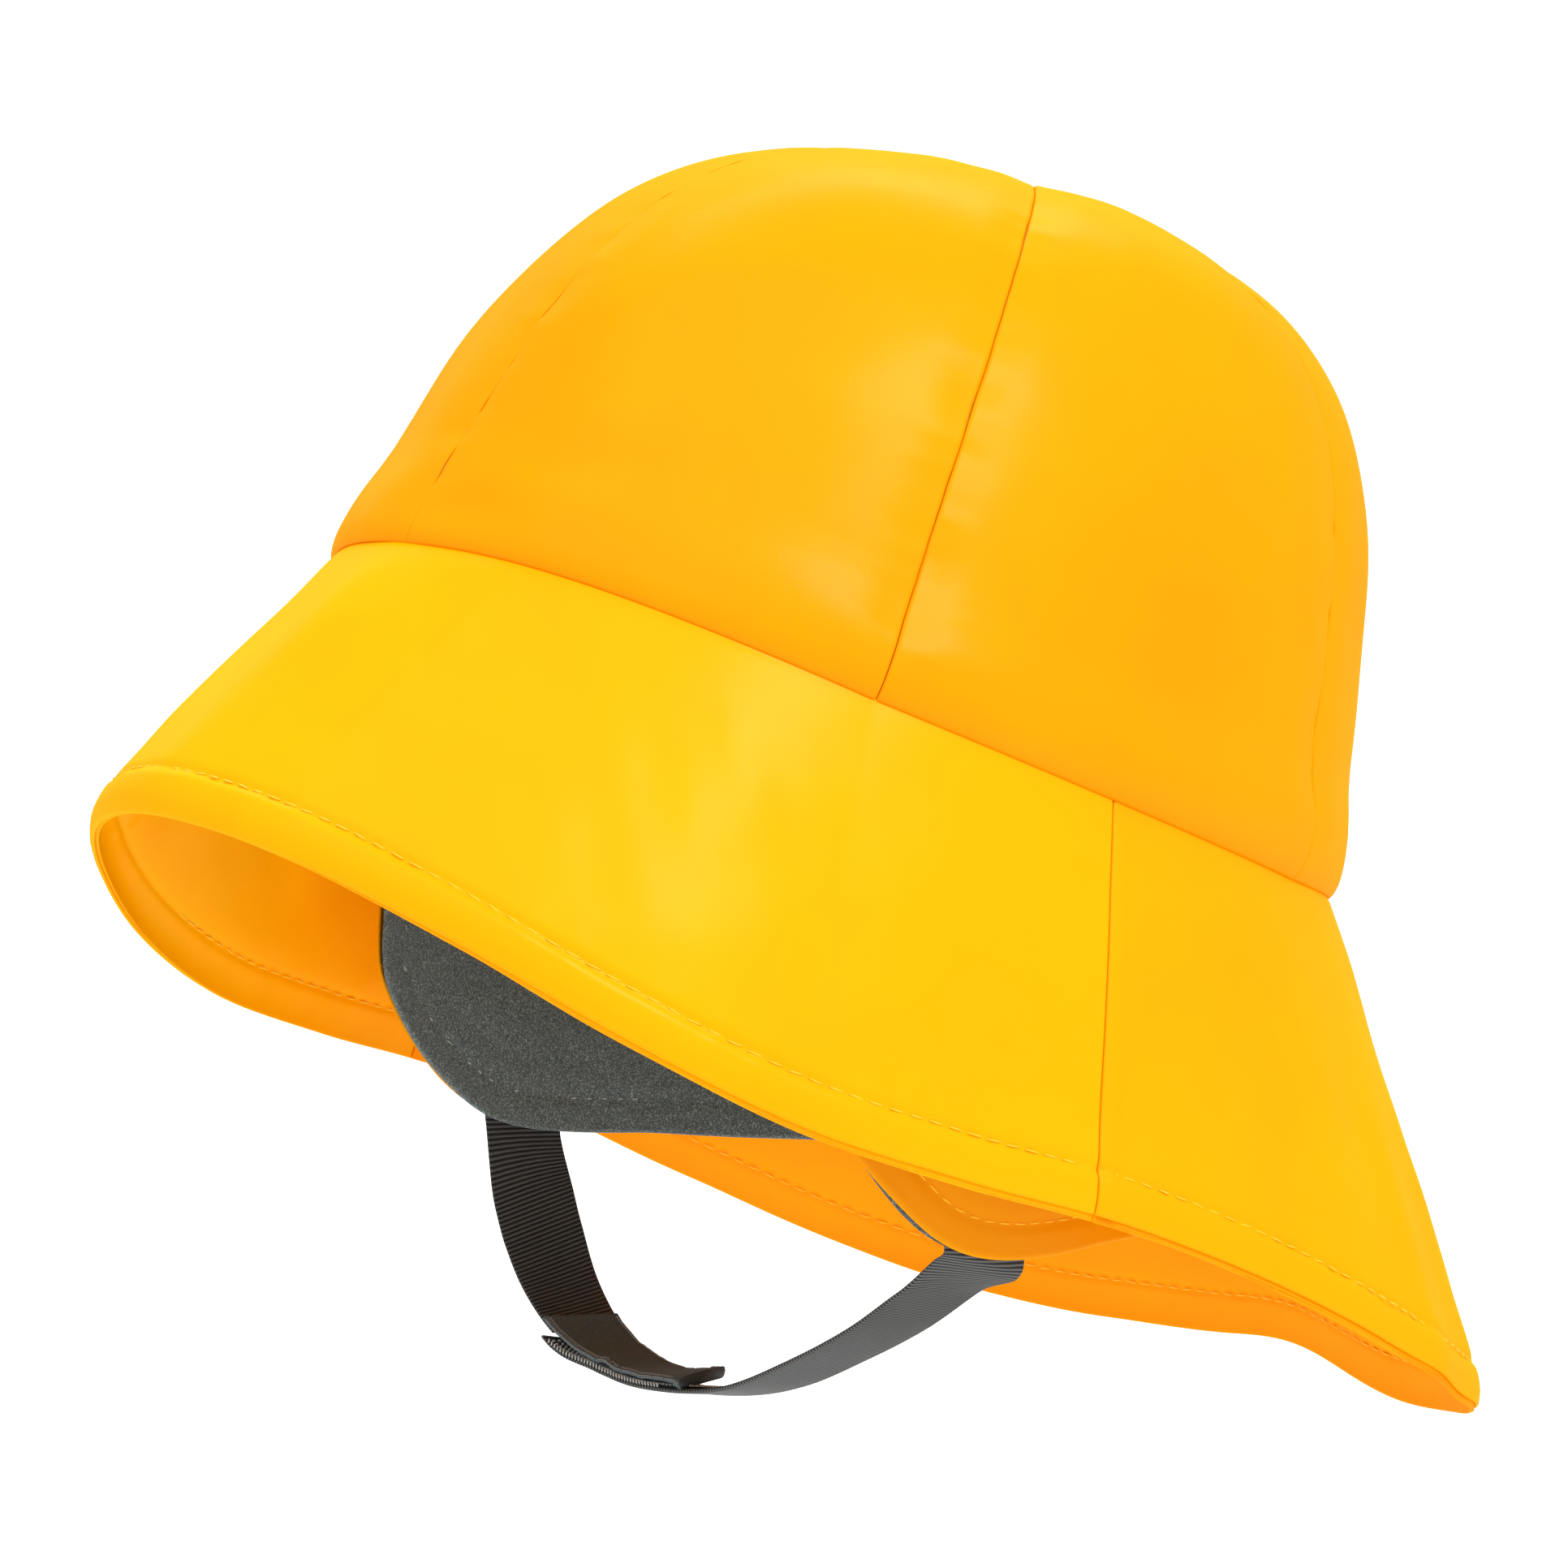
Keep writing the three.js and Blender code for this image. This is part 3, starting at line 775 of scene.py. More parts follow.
@dataclass(frozen=True)
class Fleece:
    """Short brushed pile with pale fibre ends."""

    name: str = "fleece"
    colour: tuple[float, float, float] = (0.088, 0.11, 0.109)
    pale: tuple[float, float, float] = (0.35, 0.39, 0.38)

    def material(self) -> bpy.types.Material:
        """Mixes the fleece's material.

        Returns:
            The material.
        """
        paint = Paint(self.name, self.colour, 0.95, 0.1, {"Sheen Weight": 0.08, "Sheen Roughness": 0.5})
        place = paint.place()
        speck = paint.noise(place, 3200.0, 2.0, 0.7)
        tuft = paint.noise(place, 900.0, 2.0)
        pile = paint.between(0.45, 0.7, speck)
        shaded = paint.mix(paint.between(0.35, 0.65, tuft), tuple(c * 0.75 for c in self.colour), self.colour)
        paint.use("Base Color", paint.mix(pile ** 1.6, shaded, self.pale))
        paint.use("Roughness", 0.9 + 0.1 * tuft)
        paint.bump(speck * 0.6 + tuft * 0.4, 0.35, 0.7)
        return paint.material


@dataclass(frozen=True)
class Webbing:
    """Ribbed grosgrain webbing; its rib stripes are partly painted highlight and shade, and its face towards
    the head is a darker copy, painted shade.
    """

    name: str = "webbing"
    colour: tuple[float, float, float] = (0.014, 0.015, 0.0145)
    pale: tuple[float, float, float] = (0.115, 0.12, 0.117)
    # Share of brightness kept on the face towards the head: painted shade for the side of the straps that
    # lies in the hat's shadow.
    inner: float = 0.66
    rib: float = 0.85

    def material(self) -> bpy.types.Material:
        """Mixes the webbing's material.

        Returns:
            The material.
        """
        paint = Paint(self.name, self.colour, 0.62, 0.15)
        along, across = paint.chart("X"), paint.chart("Y")
        rib = paint.stripes(along, self.rib)
        warp = paint.stripes(across, 0.42)
        fibre = paint.noise(paint.place(), 2200.0, 3.0, 0.6)
        # Rib stripes in the colour: partly the weave, partly painted highlight on the rib crests and painted
        # shade in the grooves between them.
        light = paint.between(0.2, 0.8, rib * 0.8 + fibre * 0.2)
        outer_face = paint.mix(light, self.colour, self.pale)
        # The face towards the head is a darker copy of the outer face: painted shade.
        dark, bright = (tuple(c * self.inner for c in shade) for shade in (self.colour, self.pale))
        inner_face_painted_shade = paint.mix(light, dark, bright)
        paint.use("Base Color", paint.mix(paint.between(40.0, 60.0, across), outer_face, inner_face_painted_shade))
        paint.use("Roughness", 0.55 + 0.25 * fibre)
        paint.bump(rib * 0.4 + warp * rib * 0.35 + fibre * 0.25, 0.1, 0.7)
        return paint.material


@dataclass(frozen=True)
class TapeFace:
    """Dark face of the hook and loop tapes."""

    name: str
    colour: tuple[float, float, float] = (0.055, 0.066, 0.07)
    roughness: float = 0.7
    weave: float = 0.5

    def material(self) -> bpy.types.Material:
        """Mixes the tape's material.

        Returns:
            The material.
        """
        paint = Paint(self.name, self.colour, self.roughness, 0.03)
        twill = paint.stripes(paint.chart("X") + paint.chart("Y"), self.weave)
        fibre = paint.noise(paint.place(), 1800.0, 3.0)
        lighter = tuple(c * 2.1 for c in self.colour)
        light = paint.between(0.35, 0.75, fibre * 0.6 + twill * 0.4)
        paint.use("Base Color", paint.mix(light, self.colour, lighter))
        paint.use("Roughness", self.roughness + 0.18 * fibre)
        paint.bump(twill * 0.5 + fibre * 0.5, 0.05, 0.5)
        return paint.material


@dataclass(frozen=True)
class Thread:
    """Twisted sewing thread."""

    name: str
    colour: tuple[float, float, float]
    twist: float = 5200.0

    def material(self) -> bpy.types.Material:
        """Mixes the thread's material.

        Returns:
            The material.
        """
        paint = Paint(self.name, self.colour, 0.5, 0.12)
        strand = paint.noise(paint.place(), self.twist, 2.0)
        paler = tuple(min(1.0, c * 1.25 + 0.02) for c in self.colour)
        paint.use("Base Color", paint.mix(strand, self.colour, paler))
        paint.use("Roughness", 0.4 + 0.2 * strand)
        paint.bump(strand, 0.05, 0.5)
        return paint.material


# The parts of the hat.


@dataclass(frozen=True)
class Crown:
    """Six panels that meet at the apex, their edges turned in at the seams."""

    shop: Workshop
    cloth: bpy.types.Material
    backing: bpy.types.Material
    wall: float = 0.75
    seam_roll: float = 0.7
    seam_sink: float = 0.55
    valley: float = 0.55
    valley_spread: float = 5.0
    pulls: tuple[float, ...] = (0.35, 1.7, 1.3, 0.6, 1.2, 1.2)
    pucker: float = 0.22
    swell: float = 0.5
    hem_roll: float = 5.5
    hem_sink: float = 1.15
    overhang: float = 1.5
    front_share: float = 0.2
    hem_height: float = 18
    hem_pinch: float = 0.3
    panels: tuple[str, ...] = (
        "front_left", "side_left", "back_left", "back_right", "side_right", "front_right",
    )

    def profile(self) -> tuple[Array, Array]:
        """Distances up the crown from its seam, and the height share at each.

        Returns:
            The distances and the height shares.
        """
        form = self.shop.form
        height = 1 - (1 - np.linspace(0, 1, 2400)) ** 3
        points = np.stack([form.plan_share(height) * form.half_length, height * form.height], axis=-1)
        return path_length(points), height

    def relief(self, angle: Array, up: Array, across: Array, seed: int) -> Array:
        """Shape of a panel beyond the smooth crown.

        Args:
            angle: Angles round the hat.
            up: Distances up from the brim seam.
            across: Distances from the nearer panel seam.
            seed: The panel's own pattern of swells.

        Returns:
            How far the cloth stands out.
        """
        above = fade(up, 2, 14)
        pull = np.array(self.pulls)[np.rint(angle / 60).astype(int) % len(self.pulls)]
        tug = pull * (0.7 + 0.3 * waves(up, 0 * up, seed + 20, 38))
        sink = self.valley * bell(across, self.valley_spread) * tug * above
        ruck = self.pucker * waves(up, across * 0.25, seed + 40, 13) * bell(across, 7) * above
        soft = self.swell * waves(angle * 1.5, up, seed, 75) * fade(across, 2, 22) * fade(up, 6, 25)
        beside = fade(folded(angle), 35, 80) * (1 - fade(folded(angle), 115, 150))
        bulge = self.overhang * (self.front_share + (1 - self.front_share) * beside)
        lip = bulge * np.sin(np.pi * np.clip(up / self.hem_height, 0, 1))
        lip = lip - self.hem_pinch * np.clip(1 - up / 3.2, 0, 1) ** 2
        turned = rolled(across, self.seam_roll, self.seam_sink * np.minimum(pull, 1))
        turned = turned + rolled(up, self.hem_roll, self.hem_sink)
        return soft + ruck + lip - sink - turned

    def build(self) -> None:
        """Makes the six panels."""
        form = self.shop.form
        distance, height = self.profile()
        total = float(distance[-1])
        width = form.half_length * math.radians(60) * 0.93
        columns = graded((0, 0.09), (1, 0.22), (7, 1.3), (width - 7, 1.3), (width - 1, 0.22), (width, 0.09))
        rows = graded((0, 0.1), (1.2, 0.3), (5, 1.3), (total - 8, 1.5), (total, 0.8))
        for index, label in enumerate(self.panels):
            name = f"crown_{label}_cloth"
            mesh, at, up = self.shop.grid(name, columns, rows)
            level = np.interp(up, distance, height)
            angle = index * 60 + at / width * 60
            edge = np.minimum(at, width - at) * form.plan_share(level)
            lift = self.relief(angle, up, edge, index + 1)
            self.shop.place(mesh, form.worn(form.crown_face(angle, level, -lift)), (angle * 1.5, up), False)
            bm = bmesh.new()
            bm.from_mesh(mesh)
            bmesh.ops.remove_doubles(bm, verts=bm.verts, dist=2e-6)
            rewritten(mesh, bm)
            piece = self.shop.fitted(name, mesh, "coated_fabric", (f"crown_panel_{label}",))
            self.shop.walled(piece, self.wall, self.cloth, self.backing)
            log.info("crown panel %s: %d vertices", label, len(mesh.vertices))


@dataclass(frozen=True)
class Brim:
    """Two layers of cloth in a front and a back piece, topstitched along the rim."""

    shop: Workshop
    cloth: bpy.types.Material
    # The back piece and both under layers take darker copies of the cloth: painted shade.
    back_painted_shade_cloth: bpy.types.Material
    front_under_painted_shade: bpy.types.Material
    back_under_painted_shade: bpy.types.Material
    thread: bpy.types.Material
    parts: tuple[str, str] = ("front", "back")
    seam_angle: float = 87
    layer: float = 1.0
    gap: float = 0.3
    wall: float = 0.75
    tuck: float = 3.0
    slope: float = 70
    even_rows: float = 12
    stitch_in: float = 8.0
    pitch: float = 3.5
    rim_roll: float = 0.8
    rim_sink: float = 0.7
    rim_close: float = 0.75
    under_inset: float = -0.1
    show: float = 0.85
    peek: float = 0.3
    hem_puff: float = 0.3
    under_puff: float = 0.04
    under_sink: float = 0.1
    stitch_sink: float = 0.24
    thread_rise: float = 0.06
    hole: float = 0.12
    ruck: float = 0.16
    seam_roll: float = 0.7
    seam_sink: float = 0.6
    ridge: float = 0.38
    swell: float = 0.6
    dimple: float = 0.2
    folds: tuple[tuple[float, float, float, float, float], ...] = (
        (-36, 15, 4, 75, -1.3), (-1, 4, 2, 60, 0.7), (-9, 5, 2, 50, -0.4), (125, 2.6, 38, 100, 0.75),
        (119.5, 4, 30, 90, -0.5), (131, 3, 50, 100, -0.6), (135, 2.4, 50, 100, 0.5),
        (160, 6, 30, 90, -0.5),
    )

    def rim_stations(self) -> tuple[Array, Array]:
        """Angles all round the rim and the distance walked to each.

        Returns:
            The angles and the distances.
        """
        form = self.shop.form
        angle = np.linspace(-self.seam_angle, 360 - self.seam_angle, 2161)
        points = form.brim_point(angle, form.brim_slope(angle) - self.stitch_in, 0 * angle)
        return angle, path_length(points)

    def rim_distance(self, angle: Array) -> Array:
        """Distance along the rim at angles round the hat."""
        stations, walked = self.rim_stations()
        return np.interp(np.mod(angle + self.seam_angle, 360) - self.seam_angle, stations, walked)

    def inset(self, along: Array, upper: bool) -> Array:
        """How far a layer's edge stays back from the rim; the under layer peeks out.

        Args:
            along: Distances along the rim.
            upper: Whether it is the upper layer.

        Returns:
            The distances from the rim.
        """
        shown = fade(along, self.rim_distance(np.array([0.0]))[0], self.rim_distance(np.array([40.0]))[0])
        if upper:
            return self.show * shown
        return self.under_inset + self.peek * shown * waves(along, 0 * along, 63, 90)

    def relief(self, angle: Array, down: Array, edge: Array, part: str, upper: bool) -> Array:
        """Shape of a layer beyond the smooth brim.

        Args:
            angle: Angles round the hat.
            down: Distances below the crown seam.
            edge: Distances from the nearer side seam.
            part: "front" or "back".
            upper: Whether it is the upper layer.

        Returns:
            How far the seen face stands out.
        """
        form = self.shop.form
        inwards = form.brim_slope(angle) - down
        along = self.rim_distance(angle)
        from_rim = inwards - self.inset(along, upper)
        seed = 3 if upper else 9
        stitched = bell(inwards - self.stitch_in, 1.0)
        needle = (0.5 - 0.5 * np.cos(2 * np.pi * along / self.pitch)) * bell(inwards - self.stitch_in, 0.7)
        puff = self.hem_puff if upper else self.under_puff
        hem = puff * fade(from_rim, 0.4, 3) * (1 - fade(inwards, 6.4, 8))
        ruck = self.ruck * waves(along, inwards * 0.3, seed, 11) * bell(inwards - self.stitch_in, 5)
        swelling = self.swell * waves(along * 0.8, down, seed + 1, 95)
        dimpled = self.dimple * waves(along, down, seed + 2, 34)
        soft = swelling * fade(inwards, 4, 26) * fade(down, 2, 24)
        soft = soft + dimpled * fade(inwards, 8, 20) * fade(down, 4, 16)
        lift = hem + ruck + soft - self.stitch_sink * stitched - self.hole * needle
        sign = 1 if upper else -1
        for at, spread, start, end, rise in self.folds:
            where = fade(down, start - 8, start + 8) * (1 - fade(down, end - 20, end + 4))
            lift = lift + sign * rise * bell(apart(angle, at), spread) * where
        sink = self.rim_sink if upper else self.under_sink
        if not upper:
            lift = lift - self.rim_close * (1 - fade(from_rim, 2, 14))
        lift = lift - rolled(edge, self.seam_roll, self.seam_sink) - rolled(from_rim, self.rim_roll, sink)
        if part == "back":
            lift = lift + self.ridge * bell(edge - 2.4, 1.5) * fade(down, 0, 6)
        return lift

    def span(self, part: str) -> tuple[float, float]:
        """Angles at which the front or the back piece starts and ends."""
        seam = self.seam_angle
        return (-seam, seam) if part == "front" else (seam, 360 - seam)

    def layer_of(self, part: str, upper: bool) -> None:
        """Makes one layer of one piece.

        Args:
            part: "front" or "back".
            upper: Whether it is the upper layer.
        """
        form = self.shop.form
        start, end = self.span(part)
        fine = 0.5 if upper else 0.65
        columns = graded((start, 0.06), (start + 1, 0.16), (start + 4, fine),
                         (end - 4, fine), (end - 1, 0.16), (end, 0.06))
        rows = graded((0, 0.12), (1.3, 0.3), (3, 0.8), (6.4, 0.6), (7.4, 0.3), (8.6, 0.3), (9.8, 0.6),
                      (14, 1.5), (self.slope - 4, 1.7), (self.slope, 0.7), (self.slope + self.tuck, 0.8))
        label = "upper" if upper else "under"
        name = f"brim_{part}_{label}_cloth"
        mesh, angle, row = self.shop.grid(name, columns, rows)
        reach = form.brim_slope(angle) - self.inset(self.rim_distance(angle), upper)
        even = self.even_rows
        far = (reach - even) * (1 - (row - even) / (self.slope - even))
        down = np.where(row <= even, reach - row, np.where(row <= self.slope, far, self.slope - row))
        edge = np.minimum(angle - start, end - angle) * math.radians(1) * (form.half_width + 12 + down * 0.3)
        lift = self.relief(angle, down, edge, part, upper)
        depth = -lift if upper else 2 * self.layer + self.gap + lift
        points = form.worn(form.brim_point(angle, down, depth))
        self.shop.place(mesh, points, (angle * 1.6, row), not upper)
        piece = self.shop.fitted(name, mesh, "coated_fabric", (f"brim_{part}_{label}",))
        faces = (self.cloth, self.front_under_painted_shade) if part == "front" else (self.back_painted_shade_cloth, self.back_under_painted_shade)
        self.shop.walled(piece, self.wall, faces[0] if upper else faces[1])
        log.info("brim %s %s: %d vertices", part, label, len(mesh.vertices))

    def sew(self, upper: bool) -> None:
        """Sews the row of stitches along the rim.

        Args:
            upper: Whether it lies on the upper layer.
        """
        form = self.shop.form
        rows = []
        for start, end in (self.span(part) for part in self.parts):
            angle = np.linspace(start + 0.4, end - 0.4, 1500)
            down = form.brim_slope(angle) - self.stitch_in
            sink = self.stitch_sink - self.thread_rise
            seat = sink if upper else 2 * self.layer + self.gap - sink
            path = form.worn(form.brim_point(angle, down, np.full_like(angle, seat)))
            behind = form.worn(form.brim_point(angle, down, np.full_like(angle, seat + 1)))
            rows.append((path, (path - behind) * (1 if upper else -1)))
        name = "rim_stitches_upper" if upper else "rim_stitches_under"
        self.shop.stitches(name, rows, "coated_fabric", self.thread, self.pitch)

    def build(self) -> None:
        """Makes the four sheets and their stitches."""
        for part in self.parts:
            for upper in (True, False):
                self.layer_of(part, upper)
        for upper in (True, False):
            self.sew(upper)


@dataclass(frozen=True)
class EarFlap:
    """A cloth shell lined with fleece, stitched round its edge."""

    shop: Workshop
    side: Side
    cloth: bpy.types.Material
    fleece: bpy.types.Material
    thread: bpy.types.Material
    pale_thread: bpy.types.Material
    depth: float = 72.5
    front_angle: float = 54
    corner_angle: float = 60.5
    shell_depth: float = 4.1
    lining_depth: float = 6.9
    shell_wall: float = 0.75
    lining_wall: float = 1.35
    reveal: float = -0.6
    stitch_in: float = 6.0
    pitch: float = 3.2
    stitch_sink: float = 0.3
    pocket: float = 0.85
    strap_angle: float = 91
    strap_width: float = 17
    strap_room: float = 9
    per_degree: float = 1.5
    rounding: float = 4.0
    outline_step: float = 0.25
    row_span: float = 70.5
    front_bend: float = 0.25
    lining_roll: tuple[float, float] = (1.0, 0.9)
    shell_roll: tuple[float, float] = (0.8, 0.6)
    swell: float = 0.35
    pile: float = 0.1
    thread_rise: float = 0.06
    drops: Table = field(default_factory=lambda: Table(
        ("angle", "left", "right"),
        [
            (60.5, 0.785, 0.79), (67, 0.868, 0.865), (73.5, 0.948, 0.93), (79.5, 1.012, 0.975),
            (85, 1.045, 1), (91, 1.036, 0.993), (97, 1.002, 0.97), (102, 0.966, 0.945),
            (108, 0.925, 0.915), (120, 0.87, 0.87), (135, 0.82, 0.82), (150, 0.785, 0.785),
            (165, 0.765, 0.765), (180, 0.76, 0.76),
        ],
    ))

    def fall(self, angle: Array) -> Array:
        """How far below the crown seam the flap's edge hangs."""
        return self.depth * self.drops.read(self.side.name.lower(), angle)

    def outline(self, reveal: float) -> tuple[Array, int]:
        """The flap's lower edge in its flat chart.

        Args:
            reveal: How far it stands out past the shell's edge.

        Returns:
            Points down the front edge and along the lower edge, and the index of the corner.
        """
        low = np.linspace(self.corner_angle, 180, 700)
        fall = self.fall(low) + reveal
        ahead = (low - self.front_angle) * self.per_degree - reveal * np.exp(-(low - low[0]) / 4)
        lower = np.stack([ahead, fall], axis=-1)
        share = np.linspace(0, 1, 120)[:-1, None]
        front = np.array([[-reveal, 0.0]]) * (1 - share) + lower[:1] * share
        sharp = np.concatenate([front, lower])
        walked = path_length(sharp)
        even = np.arange(0, walked[-1], self.outline_step)
        points = along_path(even, walked, sharp)
        reach = int(self.rounding * 3 / self.outline_step)
        weights = bell(np.arange(-reach, reach + 1) * self.outline_step, self.rounding * 1.414)
        weights /= weights.sum()
        before = 2 * points[0] - points[reach:0:-1]
        after = 2 * points[-1] - points[-2:-reach - 2:-1]
        padded = np.concatenate([before, points, after])
        smooth = np.stack([np.convolve(padded[:, k], weights, "valid") for k in range(2)], axis=-1)
        return smooth, int(np.argmin(np.abs(even - path_length(front)[-1])))

    def cloth_point(self, chart: Array, depth: Array) -> Array:
        """Points of the worn flap at places of its flat chart.

        Args:
            chart: Distances back from its front edge and down.
            depth: Depth below the crown's outer face.

        Returns:
            The points.
        """
        angle = self.front_angle + chart[:, 0] / self.per_degree
        form = self.shop.form
        return form.worn(form.flap_point(self.side.value * angle, chart[:, 1], depth))

    def opening(self, chart: Array) -> Array:
        """How far a layer stands back from the strap sewn in beside it.

        Args:
            chart: Places of the flat chart.

        Returns:
            The distances.
        """
        angle = self.front_angle + chart[:, 0] / self.per_degree
        away = np.abs(folded(angle) - self.strap_angle) * self.per_degree
        reach = self.strap_width / 2 + self.strap_room
        share = chart[:, 1] / self.fall(angle)
        return self.pocket * (1 - fade(away, reach, reach * 1.6)) * fade(share, 0.62, 0.78)

    def distance(self, chart: Array, edge: Array) -> Array:
        """Distance of each place of the chart from the flap's edge.

        Args:
            chart: Places of the flat chart.
            edge: The edge in that chart.

        Returns:
            The distances.
        """
        knots = edge[::2]
        along = np.diff(knots, axis=0)
        best = np.full(len(chart), np.inf)
        for start, step in zip(knots[:-1], along):
            share = np.clip((chart - start) @ step / (step @ step), 0, 1)
            best = np.minimum(best, np.linalg.norm(chart - start - share[:, None] * step, axis=1))
        return best

    def sheet(self, lining: bool) -> None:
        """Makes the shell or the lining.

        Args:
            lining: Whether it is the lining.
        """
        reveal = self.reveal if lining else 0.0
        edge, corner = self.outline(reveal)
        columns = graded((0, 0.12), (1.2, 0.4), (5, 0.8), (8, 0.8), (14, 1.6), (184, 1.8), (189, 0.5)) / 189
        tall = self.row_span
        rows = graded((-5, 1.6), (0, 1.6), (50, 1.6), (60, 0.8), (67, 0.8), (69.5, 0.3), (tall, 0.12)) / tall
        label = "lining" if lining else "shell"
        name = f"ear_flap_{label}_{self.side.name.lower()}_cloth"
        mesh, along, share = self.shop.grid(name, columns, rows)
        behind = along * (180 - self.front_angle) * self.per_degree - reveal * (1 - along)
        top = np.stack([behind, 0 * along], axis=-1)
        places = corner + along * (len(edge) - 1 - corner)
        low = along_path(places, np.arange(len(edge)), edge)
        held = np.clip(share, 0, 1)[:, None]
        straight = top + (low - top) * held
        down = held[:, 0] * corner
        front = along_path(down, np.arange(len(edge)), edge)
        first_top, first_low = np.array([-reveal, 0.0]), edge[corner]
        bend = front - (first_top + (first_low - first_top) * held)
        chart = straight + bend * (np.clip(1 - along / self.front_bend, 0, 1) ** 2)[:, None]
        chart[:, 1] = np.where(share < 0, share * tall, chart[:, 1])
        from_edge = self.distance(chart, edge)
        seed = 31 if lining else 37
        turned = rolled(from_edge, *(self.lining_roll if lining else self.shell_roll))
        dip = self.stitch_sink * bell(from_edge - self.stitch_in - reveal, 1.1) * (share > 0)
        soft = self.swell * waves(chart[:, 0], chart[:, 1], seed, 60) * fade(from_edge, 2, 18)
        lift = soft - turned - dip
        if lining:
            lift = lift + self.pile * waves(chart[:, 0], chart[:, 1], 77, 7)
            depth = self.lining_depth + lift + self.opening(chart)
        else:
            depth = self.shell_depth - lift - self.opening(chart)
        points = self.cloth_point(chart, depth)
        self.shop.place(mesh, points, (chart[:, 0], chart[:, 1]), lining)
        slot = "fleece" if lining else "coated_fabric"
        piece = self.shop.fitted(name, mesh, slot, (f"ear_flap_{label}_{self.side.name.lower()}",))
        wall = self.lining_wall if lining else self.shell_wall
        self.shop.walled(piece, wall, self.fleece if lining else self.cloth)
        log.info("ear flap %s %s: %d vertices", label, self.side.name, len(mesh.vertices))

    def sew(self, lining: bool) -> None:
        """Sews the row of stitches round the edge.

        Args:
            lining: Whether it lies on the lining.
        """
        edge, _ = self.outline(0.0)
        heading = unit(np.gradient(edge, axis=0))
        inner = edge + np.stack([heading[:, 1], -heading[:, 0]], axis=-1) * self.stitch_in
        inner = inner[(inner[:, 1] > 4) & (inner[:, 0] < edge[-1, 0] - 1)]
        sink = self.stitch_sink - self.thread_rise
        depth = self.lining_depth - sink + self.opening(inner) if lining else (
            self.shell_depth + sink - self.opening(inner))
        path = self.cloth_point(inner, depth)
        facing = (path - self.cloth_point(inner, depth + 1)) * (-1 if lining else 1)
        label, slot, thread, share, width, skip = (
            ("lining", "fleece", self.pale_thread, 0.35, 0.24, 0.5) if lining else
            ("shell", "coated_fabric", self.thread, 0.74, 0.34, 0.0))
        name = f"ear_flap_stitches_{label}_{self.side.name.lower()}"
        self.shop.stitches(name, [(path, facing)], slot, thread, self.pitch, share, width, skip)

    def build(self) -> None:
        """Makes both sheets and their stitches."""
        for lining in (False, True):
            self.sheet(lining)
            self.sew(lining)


